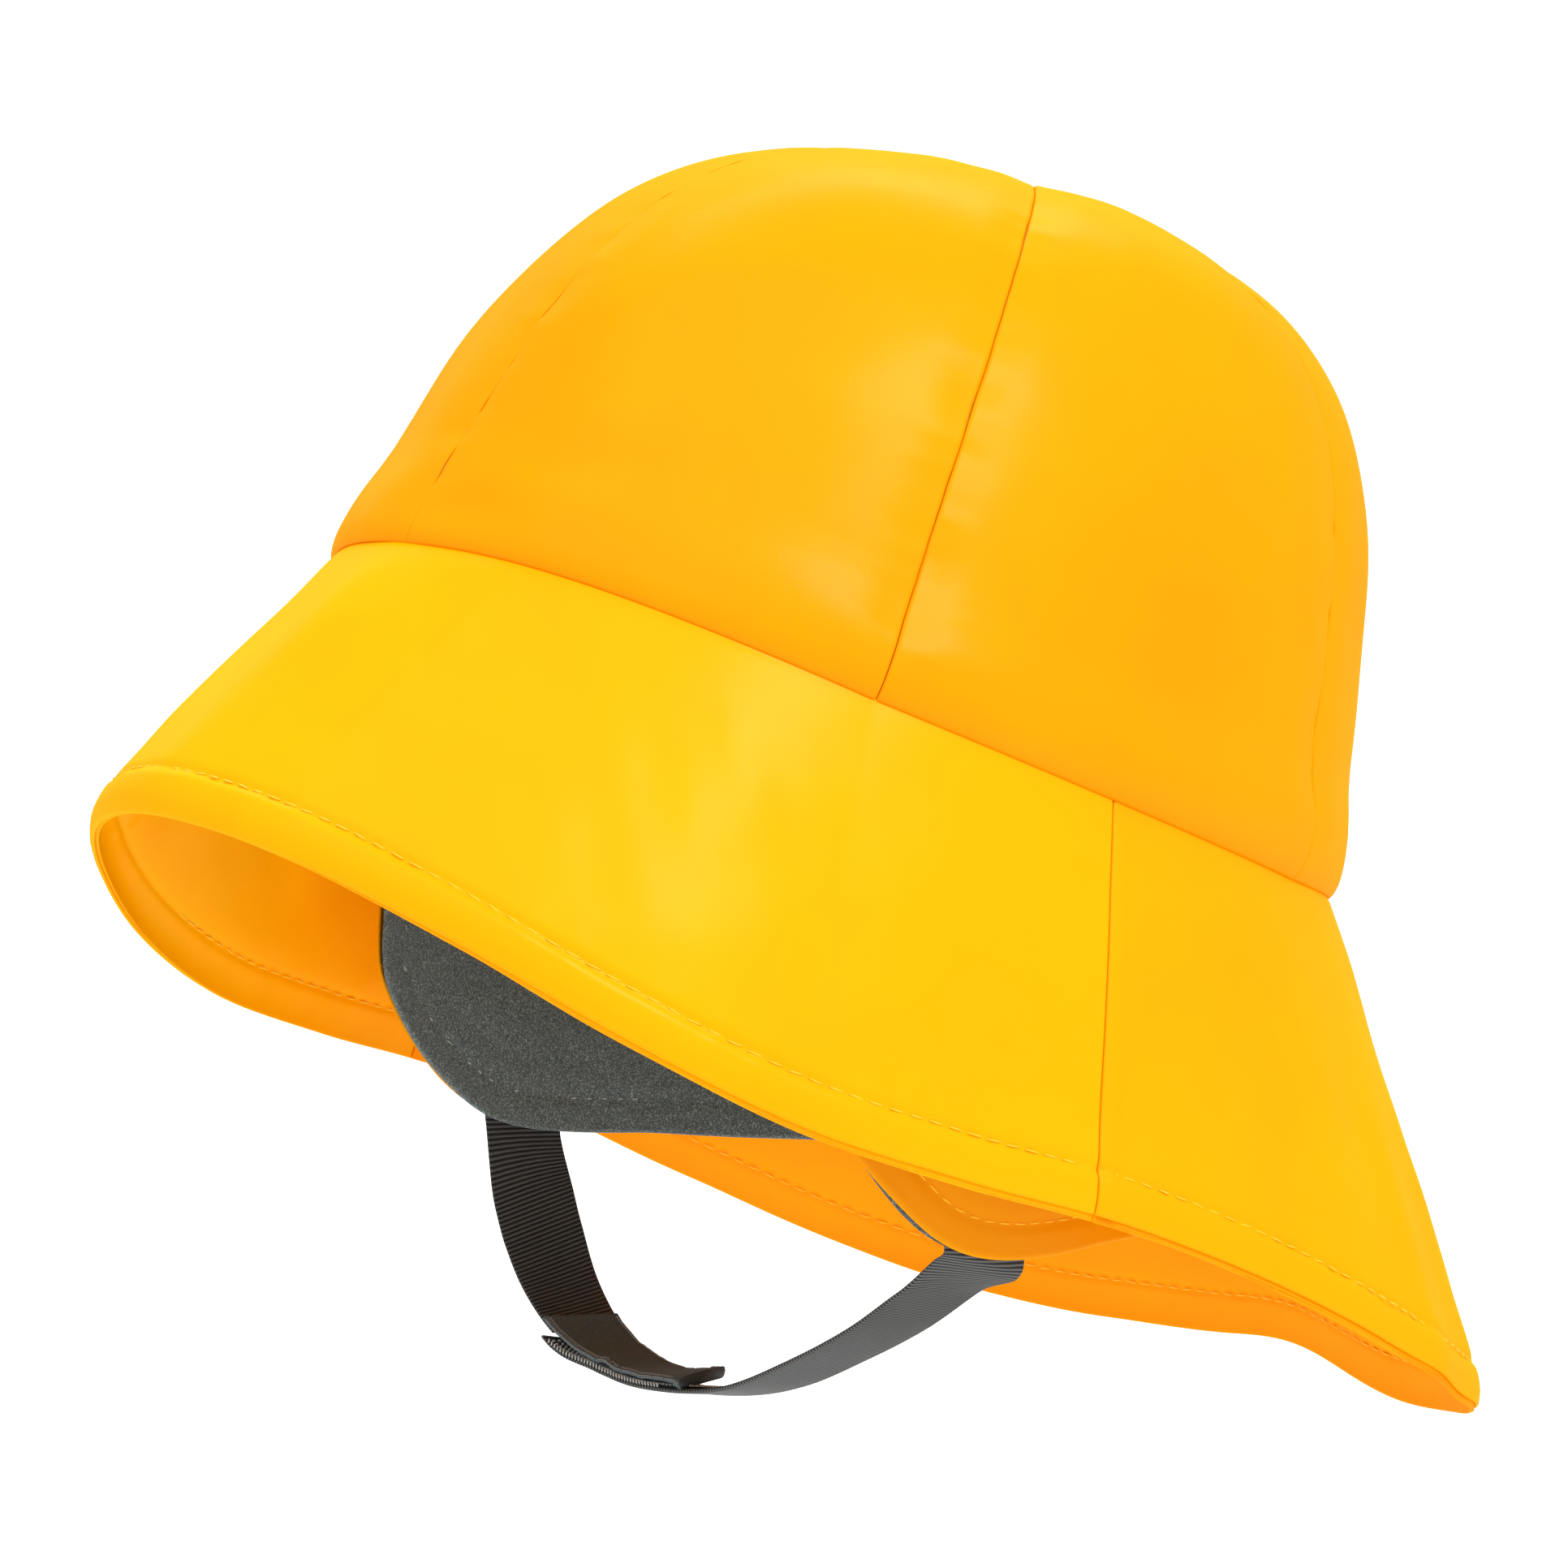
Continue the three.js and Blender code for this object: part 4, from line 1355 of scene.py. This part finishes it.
@dataclass(frozen=True)
class ChinStrap:
    """Webbing straps sewn into both flaps and closed with hook and loop tape."""

    shop: Workshop
    webbing: bpy.types.Material
    loop_face: bpy.types.Material
    hook_face: bpy.types.Material
    selvedge: bpy.types.Material
    hooks: bpy.types.Material
    width: float = 17
    thickness: float = 0.9
    angle: float = 91
    sewn: float = 12
    drop: float = 0.5
    exit_falls: tuple[float, float] = (75.11, 71.99)
    exit_slant: float = 0.2
    settle: float = 14
    bend: float = 1.0
    look_ahead: float = 0.6
    level: float = 2.04
    sag: float = 38.7
    tape_width: float = 17.6
    loop_length: float = 41
    loop_thickness: float = 0.85
    loop_slant: float = 0.65
    loop_curl: float = 2.7
    loop_end: float = 1.4
    open_end: float = 1.6
    open_reach: float = 15
    crease: float = 0.45
    crease_at: float = 0.405
    crease_skew: float = 0.11
    edge_wave: float = 0.16
    groove: float = 0.2
    hook_thickness: float = 0.55
    closure_from_flap: float = 39.3
    closing_share: float = 0.8
    overlap: float = 1.7
    end_inset: float = 3
    hook_show: float = 4
    hook_pitch: float = 1.15
    hook_row_pitch: float = 1.3
    bead_start: float = 6
    bead_pitch: float = 0.95
    layer_gap: float = 0.06
    middle_depth: float = 5.25
    per_degree: float = 1.5
    rib: float = 0.85
    rib_share: float = 0.3
    run: tuple[tuple[float, float, float], ...] = (
        (1, 0, 0), (0.966, 0.092, 4), (0.839, 0.208, 5), (0.622, 0.444, 5), (0.371, 0.668, 5),
        (0.1, 0.874, 6), (-0.158, 0.982, 10), (-0.42, 1.016, 14), (-0.662, 0.918, 10),
        (-0.825, 0.707, 3.4), (-0.907, 0.478, -3), (-0.952, 0.286, -3.4), (-0.978, 0.137, -2), (-1, 0, 0),
    )

    def sewn_point(self, side: Side, across: Array, down: Array, depth: Array) -> Array:
        """Points of a strap's sewn end between the two layers of a flap.

        Args:
            side: The flap.
            across: Offsets across the strap.
            down: Distances down the strap.
            depth: Depth below the crown's outer face.

        Returns:
            The points.
        """
        form = self.shop.form
        tilt = math.radians(form.tilt)
        along = across * math.cos(tilt) + down * math.sin(tilt)
        fall = self.exit_falls[side is Side.RIGHT] + down * math.cos(tilt) - across * math.sin(tilt)
        return form.worn(form.flap_point(side.value * (self.angle + along / self.per_degree), fall, depth))

    def route(self) -> tuple[Array, Array, Array]:
        """The hanging run from the left flap to the right one.

        Returns:
            The distance along it, its points and its turn about itself in degrees.
        """
        here, level = np.zeros(1), np.array([self.drop])
        left = self.sewn_point(Side.LEFT, here, level, here + self.middle_depth)[0]
        right = self.sewn_point(Side.RIGHT, here, level, here + self.middle_depth)[0]
        half = (left[0] - right[0]) / 2
        table = np.array(self.run)
        forward = left[1] + (right[1] - left[1]) * (1 - table[:, 0]) / 2
        low = left[2] + self.level - table[:, 1] * self.sag
        knots = np.stack([table[:, 0] * half, forward, low], axis=-1)
        knots[0], knots[-1] = left, right
        before, after = 2 * knots[0] - knots[1], 2 * knots[-1] - knots[-2]
        padded = np.concatenate([[before], knots, [after]])
        pieces, turns = [], []
        share = np.linspace(0, 1, 80, endpoint=False)[:, None]
        for index in range(len(knots) - 1):
            p0, p1, p2, p3 = padded[index:index + 4]
            d0, d1, d2 = (math.sqrt(float(np.linalg.norm(b - a))) for a, b in ((p0, p1), (p1, p2), (p2, p3)))
            t1 = ((p1 - p0) / d0 - (p2 - p0) / (d0 + d1) + (p2 - p1) / d1) * d1
            t2 = ((p2 - p1) / d1 - (p3 - p1) / (d1 + d2) + (p3 - p2) / d2) * d1
            curve = p1 + t1 * share + (-3 * p1 + 3 * p2 - 2 * t1 - t2) * share**2
            pieces.append(curve + (2 * p1 - 2 * p2 + t1 + t2) * share**3)
            turns.append(table[index, 2] + (table[index + 1, 2] - table[index, 2]) * share[:, 0])
        points = np.concatenate([*pieces, knots[-1:]])
        turn = np.concatenate([*turns, table[-1:, 2]])
        return path_length(points), points, turn

    def run_point(self, arc: Array, across: Array, inward: Array) -> Array:
        """Points of the run.

        Args:
            arc: Distance from the left flap.
            across: Offset across the webbing.
            inward: Offset towards the head.

        Returns:
            The points.
        """
        walked, points, turn = self.route()
        ahead, behind = np.minimum(arc + self.look_ahead, walked[-1]), np.maximum(arc - self.look_ahead, 0)
        tangent = unit(along_path(ahead, walked, points) - along_path(behind, walked, points))
        sideways = np.broadcast_to(np.array([0.0, 1.0, 0.0]), tangent.shape)
        towards = unit(np.cross(sideways, tangent))
        lean = np.radians(np.interp(arc, walked, turn))[:, None]
        wide = sideways * np.cos(lean) - towards * np.sin(lean)
        deep = towards * np.cos(lean) + sideways * np.sin(lean)
        centre = along_path(np.clip(arc, 0, walked[-1]), walked, points)
        return centre + wide * across[:, None] + deep * inward[:, None]

    def opening(self, arc: Array, end: float) -> Array:
        """How the end of the left strap stands away from the closure."""
        return -self.open_end * fade(arc, end - self.open_reach, end)

    def ribbed(self, arc: Array) -> Array:
        """Thickness of the webbing, thicker at each rib."""
        return self.thickness * (1 - self.rib_share * (0.5 - 0.5 * np.sin(2 * np.pi * arc / self.rib)))

    def strap(self, side: Side, start: float, end: float, closing: float) -> bpy.types.Object:
        """Makes one strap from its sewn end to its free end.

        Args:
            side: The flap it is sewn into.
            start: Distance along the run at the flap.
            end: Distance along the run at the free end.
            closing: How far it stands off the run, towards the head, in the closure.

        Returns:
            The strap.
        """
        total = abs(end - start) + self.drop
        stations = np.arange(-self.sewn, total + 1e-6, self.rib / 5)
        stations[-1] = total
        sign = 1 if end > start else -1

        def straight(along: Array, across: Array, through: Array) -> Array:
            """Points of the strap with a sharp bend where it leaves the flap.

            Args:
                along: Distances along the strap.
                across: Offsets across it.
                through: Offsets through it.

            Returns:
                The points.
            """
            leaves = self.drop + self.exit_slant * across
            free = np.maximum(along - leaves, 0)
            offset = closing * fade(free, 0, self.closure_from_flap * self.closing_share)
            if side is Side.LEFT:
                offset = self.opening(free, end)
            hung = self.run_point(start + sign * free, across, offset + through)
            edge = self.sewn_point(side, across, leaves, self.middle_depth + through)
            shift = edge - self.run_point(np.full_like(free, start), across, through)
            hung = hung + shift * (1 - fade(free, 0, self.settle))[:, None]
            sewn = self.sewn_point(side, across, np.minimum(along, leaves), self.middle_depth + through)
            return np.where((along < leaves)[:, None], sewn, hung)

        def point(along: Array, across: Array, through: Array) -> Array:
            """Points of the strap with the bend rounded off.

            Args:
                along: Distances along the strap.
                across: Offsets across it.
                through: Offsets through it.

            Returns:
                The points.
            """
            steps = np.linspace(-self.bend, self.bend, 9)
            weights = bell(steps, self.bend * 0.6)
            ends = fade(total - along, 0, self.bend)[:, None]
            places = (w * straight(along + step, across, through) for w, step in zip(weights, steps))
            soft = sum(places) / weights.sum()
            return soft * ends + straight(along, across, through) * (1 - ends)

        name = f"chin_strap_{side.name.lower()}_webbing"
        mesh = self.shop.band(name, stations, self.width, self.ribbed, point)
        mesh.materials.append(self.webbing)
        log.info("%s: %d vertices", name, len(mesh.vertices))
        return self.shop.fitted(name, mesh, "webbing", (f"chin_strap_{side.name.lower()}",))

    def build(self) -> None:
        """Makes the straps and the closure."""
        length = float(self.route()[0][-1])
        loop_start = length - self.closure_from_flap
        loop_end = loop_start - self.loop_length
        strap_end = loop_start - self.end_inset
        hook_depth = self.thickness / 2 + self.layer_gap + self.hook_thickness / 2
        loop_depth = self.thickness * 1.5 + self.layer_gap * 2 + self.loop_thickness / 2
        self.strap(Side.LEFT, 0, strap_end, 0)
        self.strap(Side.RIGHT, length, loop_start - self.overlap, self.thickness + self.layer_gap)
        self.loop_tape(loop_end, loop_start, loop_depth)
        self.hook_tape(loop_end - self.hook_show, strap_end - 0.3, hook_depth)

    def loop_tape(self, start: float, end: float, depth: float) -> None:
        """Makes the loop tape, with the fuzzy threads of its selvedges.

        Args:
            start: Distance along the run at its free end.
            end: Distance along the run at its other end.
            depth: How far it lies from the run, towards the head.
        """
        stations = np.arange(start, end + 1e-6, 0.3)
        stations[-1] = end
        forward = (self.tape_width - self.width) / 2 + 0.2
        half = self.tape_width / 2

        def thickness(arc: Array) -> Array:
            """Thickness of the tape, more where its free end is turned over."""
            return self.loop_thickness + self.loop_end * bell(arc - start, 1.8)

        def point(arc: Array, across: Array, through: Array) -> Array:
            """Points of the tape: slanting and curling up towards its free end, wavy at its edges.

            Args:
                arc: Distances along the run.
                across: Offsets across the tape.
                through: Offsets through it.

            Returns:
                The points.
            """
            share = np.clip((end - arc) / self.loop_length, 0, 1)
            edge = fade(np.abs(across), half - 3, half)
            wave = self.edge_wave * waves(arc, across * 0.2, 51, 6) * edge
            groove = self.groove * bell(np.abs(across) - half + 1.6, 0.5) * (through > 0)
            curl = self.loop_curl * share**2 * (across / self.tape_width + 0.5)
            creased = share - self.crease_at + self.crease_skew * across / self.tape_width
            bent = self.crease * bell(creased * self.loop_length, 1.8)
            bent = bent * np.clip(0.6 - across / self.tape_width, 0, 1)
            place = arc + self.loop_slant * share * across
            turned = (thickness(arc) - self.loop_thickness) / 2
            lift = depth + through + wave + curl + bent - groove - turned
            return self.run_point(place, across - forward, lift)

        mesh = self.shop.band("loop_tape_cloth", stations, self.tape_width, thickness, point)
        mesh.materials.append(self.loop_face)
        self.shop.fitted("loop_tape_cloth", mesh, "closure_tape", ("loop_tape",))
        rows = []
        for sign in (-1, 1):
            arc = np.linspace(start + 0.3, end - 0.3, 160)
            for step, level in enumerate((0.15, 0.42, 0.62)):
                across = np.full_like(arc, sign * (half - 0.15 - 0.45 * step))
                seat = self.loop_thickness * level
                path = point(arc, across, np.full_like(arc, seat))
                rows.append((path, path - point(arc, across, np.full_like(arc, seat - 1))))
        self.shop.stitches("loop_tape_selvedge", rows, "closure_tape", self.selvedge, 0.62, 0.8, 0.4, 0.08)

    def hook_tape(self, start: float, end: float, depth: float) -> None:
        """Makes the hook tape and the rows of hooks that show past the loop tape.

        Args:
            start: Distance along the run at its free end.
            end: Distance along the run at its other end.
            depth: How far it lies from the run, towards the head.
        """
        stations = np.arange(start, end + 1e-6, 0.5)
        stations[-1] = end
        thick = self.hook_thickness / 2

        def point(arc: Array, across: Array, through: Array) -> Array:
            """Points of the tape's base."""
            return self.run_point(arc, across, depth - thick / 2 + through + self.opening(arc, end))

        mesh = self.shop.band("hook_tape_base", stations, self.width,
                              lambda arc: np.full_like(arc, thick), point)
        mesh.materials.append(self.hook_face)
        self.shop.fitted("hook_tape_base", mesh, "closure_tape", ("hook_tape",))
        bm = bmesh.new()

        def row(arcs: Array, across: float, lean: float, rise: tuple[float, float],
                size: tuple[float, float]) -> None:
            """One row of balls stretched from the tape's base to its tips.

            Args:
                arcs: Where they stand along the run.
                across: Where the row lies across the tape.
                lean: How much further along the run the tips lie.
                rise: Heights of foot and tip above the tape.
                size: Half widths, along and across.
            """
            away = self.opening(arcs, end)
            low = self.run_point(arcs, np.full_like(arcs, across), depth + rise[0] + away)
            high = self.run_point(arcs + lean, np.full_like(arcs, across), depth + rise[1] + away)
            for bottom, top in zip(low, high):
                up = unit(top - bottom)
                side = unit(np.cross(up, np.array([0.0, 1.0, 0.0])))
                axes = (side * size[0], np.cross(up, side) * size[1], (top - bottom) / 2)
                bmesh.ops.create_icosphere(bm, subdivisions=1, radius=1,
                                           matrix=self.shop.ball_turn(axes, (bottom + top) / 2))

        edge_row = np.arange(start + self.bead_start, end - 0.3, self.bead_pitch)
        row(edge_row, -self.width / 2 - 0.12, 0.3, (-0.5, 0.5), (0.18, 0.24))
        arcs = np.arange(start + 0.7, end - 0.4, self.hook_pitch)
        for across in np.arange(-self.width / 2 + 0.7, self.width / 2 - 0.5, self.hook_row_pitch):
            row(arcs, across, 0, (-0.1, 0.42), (0.36, 0.42))
        mesh = meshed("hook_tape_hooks", bm)
        mesh.materials.append(self.hooks)
        self.shop.fitted("hook_tape_hooks", mesh, "closure_tape", ())


# The studio.


@dataclass(frozen=True)
class SoftBox:
    """A large soft lamp aimed at the hat."""

    name: str
    position: tuple[float, float, float]
    size: tuple[float, float]
    power: float
    aim: tuple[float, float, float] = (0, 0, 0)

    def build(self) -> None:
        """Hangs the lamp."""
        lamp = bpy.data.lights.new(self.name, "AREA")
        lamp.shape = "RECTANGLE"
        lamp.size, lamp.size_y = self.size
        lamp.energy = self.power
        holder = bpy.data.objects.new(self.name, lamp)
        bpy.context.scene.collection.objects.link(holder)
        holder.location = self.position
        holder.rotation_mode = "QUATERNION"
        holder.rotation_quaternion = (Vector(self.aim) - Vector(self.position)).to_track_quat("-Z", "Y")


@dataclass(frozen=True)
class Studio:
    """Pale floor curving up into a backdrop, soft lamps and the camera."""

    floor_level: float = -0.42
    half_width: float = 4.0
    near: float = -3.0
    far: float = 1.6
    wall: float = 4.0
    bend: float = 0.8
    eye: tuple[float, float, float] = (0.6682, -0.5089, 0.0813)
    look: tuple[float, float, float] = (-0.7977, 0.594, -0.1041)
    lens: float = 111.3
    world: float = 1.0
    lamps: tuple[SoftBox, ...] = (
        SoftBox("side_box", (1.12, 0.05, 1.28), (0.5, 0.5), 12),
        SoftBox("back_box", (-0.73, 0.87, 1.26), (0.9, 0.55), 8),
        SoftBox("front_box", (0.29, -0.8, 1.47), (1.8, 1.4), 7),
        SoftBox("left_box", (-1.6, 0.17, 0.79), (0.5, 1.0), 2),
        SoftBox("backdrop_box", (-1.2, 0.9, 2.2), (2.0, 1.0), 40, (-1.9, 1.4, -0.1)),
    )

    def sweep(self) -> None:
        """Makes the floor and backdrop as one swept sheet behind the hat."""
        behind = Vector((self.look[0], self.look[1], 0)).normalized()
        aside = Vector((-behind.y, behind.x, 0))
        path = [Vector((behind.x * out, behind.y * out, self.floor_level)) for out in (self.near, self.far)]
        for step in range(1, 13):
            turn = math.radians(90 * step / 12)
            out = self.far + self.bend * math.sin(turn)
            level = self.floor_level + self.bend * (1 - math.cos(turn))
            path.append(Vector((behind.x * out, behind.y * out, level)))
        path.append(path[-1] + Vector((0, 0, self.wall)))
        bm = bmesh.new()
        line = [bm.verts.new(point - aside * self.half_width) for point in path]
        edges = [bm.edges.new(pair) for pair in zip(line, line[1:])]
        pulled = bmesh.ops.extrude_edge_only(bm, edges=edges)
        moved = [part for part in pulled["geom"] if isinstance(part, bmesh.types.BMVert)]
        bmesh.ops.translate(bm, verts=moved, vec=aside * self.half_width * 2)
        bmesh.ops.recalc_face_normals(bm, faces=bm.faces)
        mesh = meshed("studio_sweep", bm)
        mesh.shade_smooth()
        sweep = bpy.data.objects.new("studio_sweep", mesh)
        bpy.context.scene.collection.objects.link(sweep)
        mesh.materials.append(Paint("studio_paper", (0.9, 0.9, 0.9), 0.95, 0.0).material)

    def build(self) -> None:
        """Sets up the whole studio."""
        scene = bpy.context.scene
        self.sweep()
        for lamp in self.lamps:
            lamp.build()
        world = bpy.data.worlds.new("studio_air")
        world.use_nodes = True
        air = world.node_tree.nodes["Background"]
        air.inputs["Color"].default_value = (1, 1, 1, 1)
        air.inputs["Strength"].default_value = self.world
        scene.world = world
        camera = bpy.data.cameras.new("camera")
        camera.sensor_width = 36
        camera.lens = self.lens
        camera.clip_start, camera.clip_end = 0.05, 30
        eye = bpy.data.objects.new("camera", camera)
        scene.collection.objects.link(eye)
        eye.location = self.eye
        eye.rotation_mode = "QUATERNION"
        eye.rotation_quaternion = Vector(self.look).to_track_quat("-Z", "Y")
        scene.camera = eye
        scene.view_settings.view_transform = "Standard"
        scene.view_settings.look = "None"


def main() -> None:
    """Builds the hat and its studio."""
    logging.basicConfig(level=logging.INFO, format="%(message)s")
    shop = Workshop(HatForm())
    # One coated cloth in lit and shaded copies: the brim's upper face holds the brightest, and the darker
    # crown, back brim, under layer and flap copies are painted shade.
    crown_cloth = CoatedCloth("crown_cloth", (0.94, 0.325, 0.0), (0.92, 0.295, 0.0)).material()
    brim_cloth = CoatedCloth("brim_cloth", (0.96, 0.405, 0.0), (0.95, 0.375, 0.0)).material()
    back_painted_shade_cloth = CoatedCloth("brim_back_cloth", (0.96, 0.375, 0.0), (0.95, 0.345, 0.0)).material()
    front_under_painted_shade = CoatedCloth("front_under_cloth", (0.96, 0.39, 0.0), (0.95, 0.365, 0.0), 0.5).material()
    back_under_painted_shade = CoatedCloth("back_under_cloth", (0.96, 0.325, 0.0), (0.95, 0.3, 0.0), 0.5).material()
    flap_cloth = CoatedCloth("flap_cloth", (0.75, 0.285, 0.0), (0.73, 0.26, 0.0)).material()
    backing = KnitBacking().material()
    fleece = Fleece().material()
    webbing = Webbing().material()
    loop_face = TapeFace("loop_tape_face").material()
    hook_face = TapeFace("hook_tape_face", (0.006, 0.006, 0.006), 0.6).material()
    selvedge = Thread("selvedge_thread", (0.2, 0.2, 0.19)).material()
    hooks = Thread("hook_thread", (0.36, 0.36, 0.34)).material()
    thread = Thread("yellow_thread", (0.93, 0.46, 0.012)).material()
    pale_thread = Thread("pale_thread", (0.42, 0.42, 0.38)).material()
    Studio().build()
    Crown(shop, crown_cloth, backing).build()
    Brim(shop, brim_cloth, back_painted_shade_cloth, front_under_painted_shade, back_under_painted_shade, thread).build()
    for side, reveal in ((Side.LEFT, -0.75), (Side.RIGHT, 0.35)):
        EarFlap(shop, side, flap_cloth, fleece, thread, pale_thread, reveal=reveal).build()
    ChinStrap(shop, webbing, loop_face, hook_face, selvedge, hooks).build()


if __name__ == "__main__":
    main()
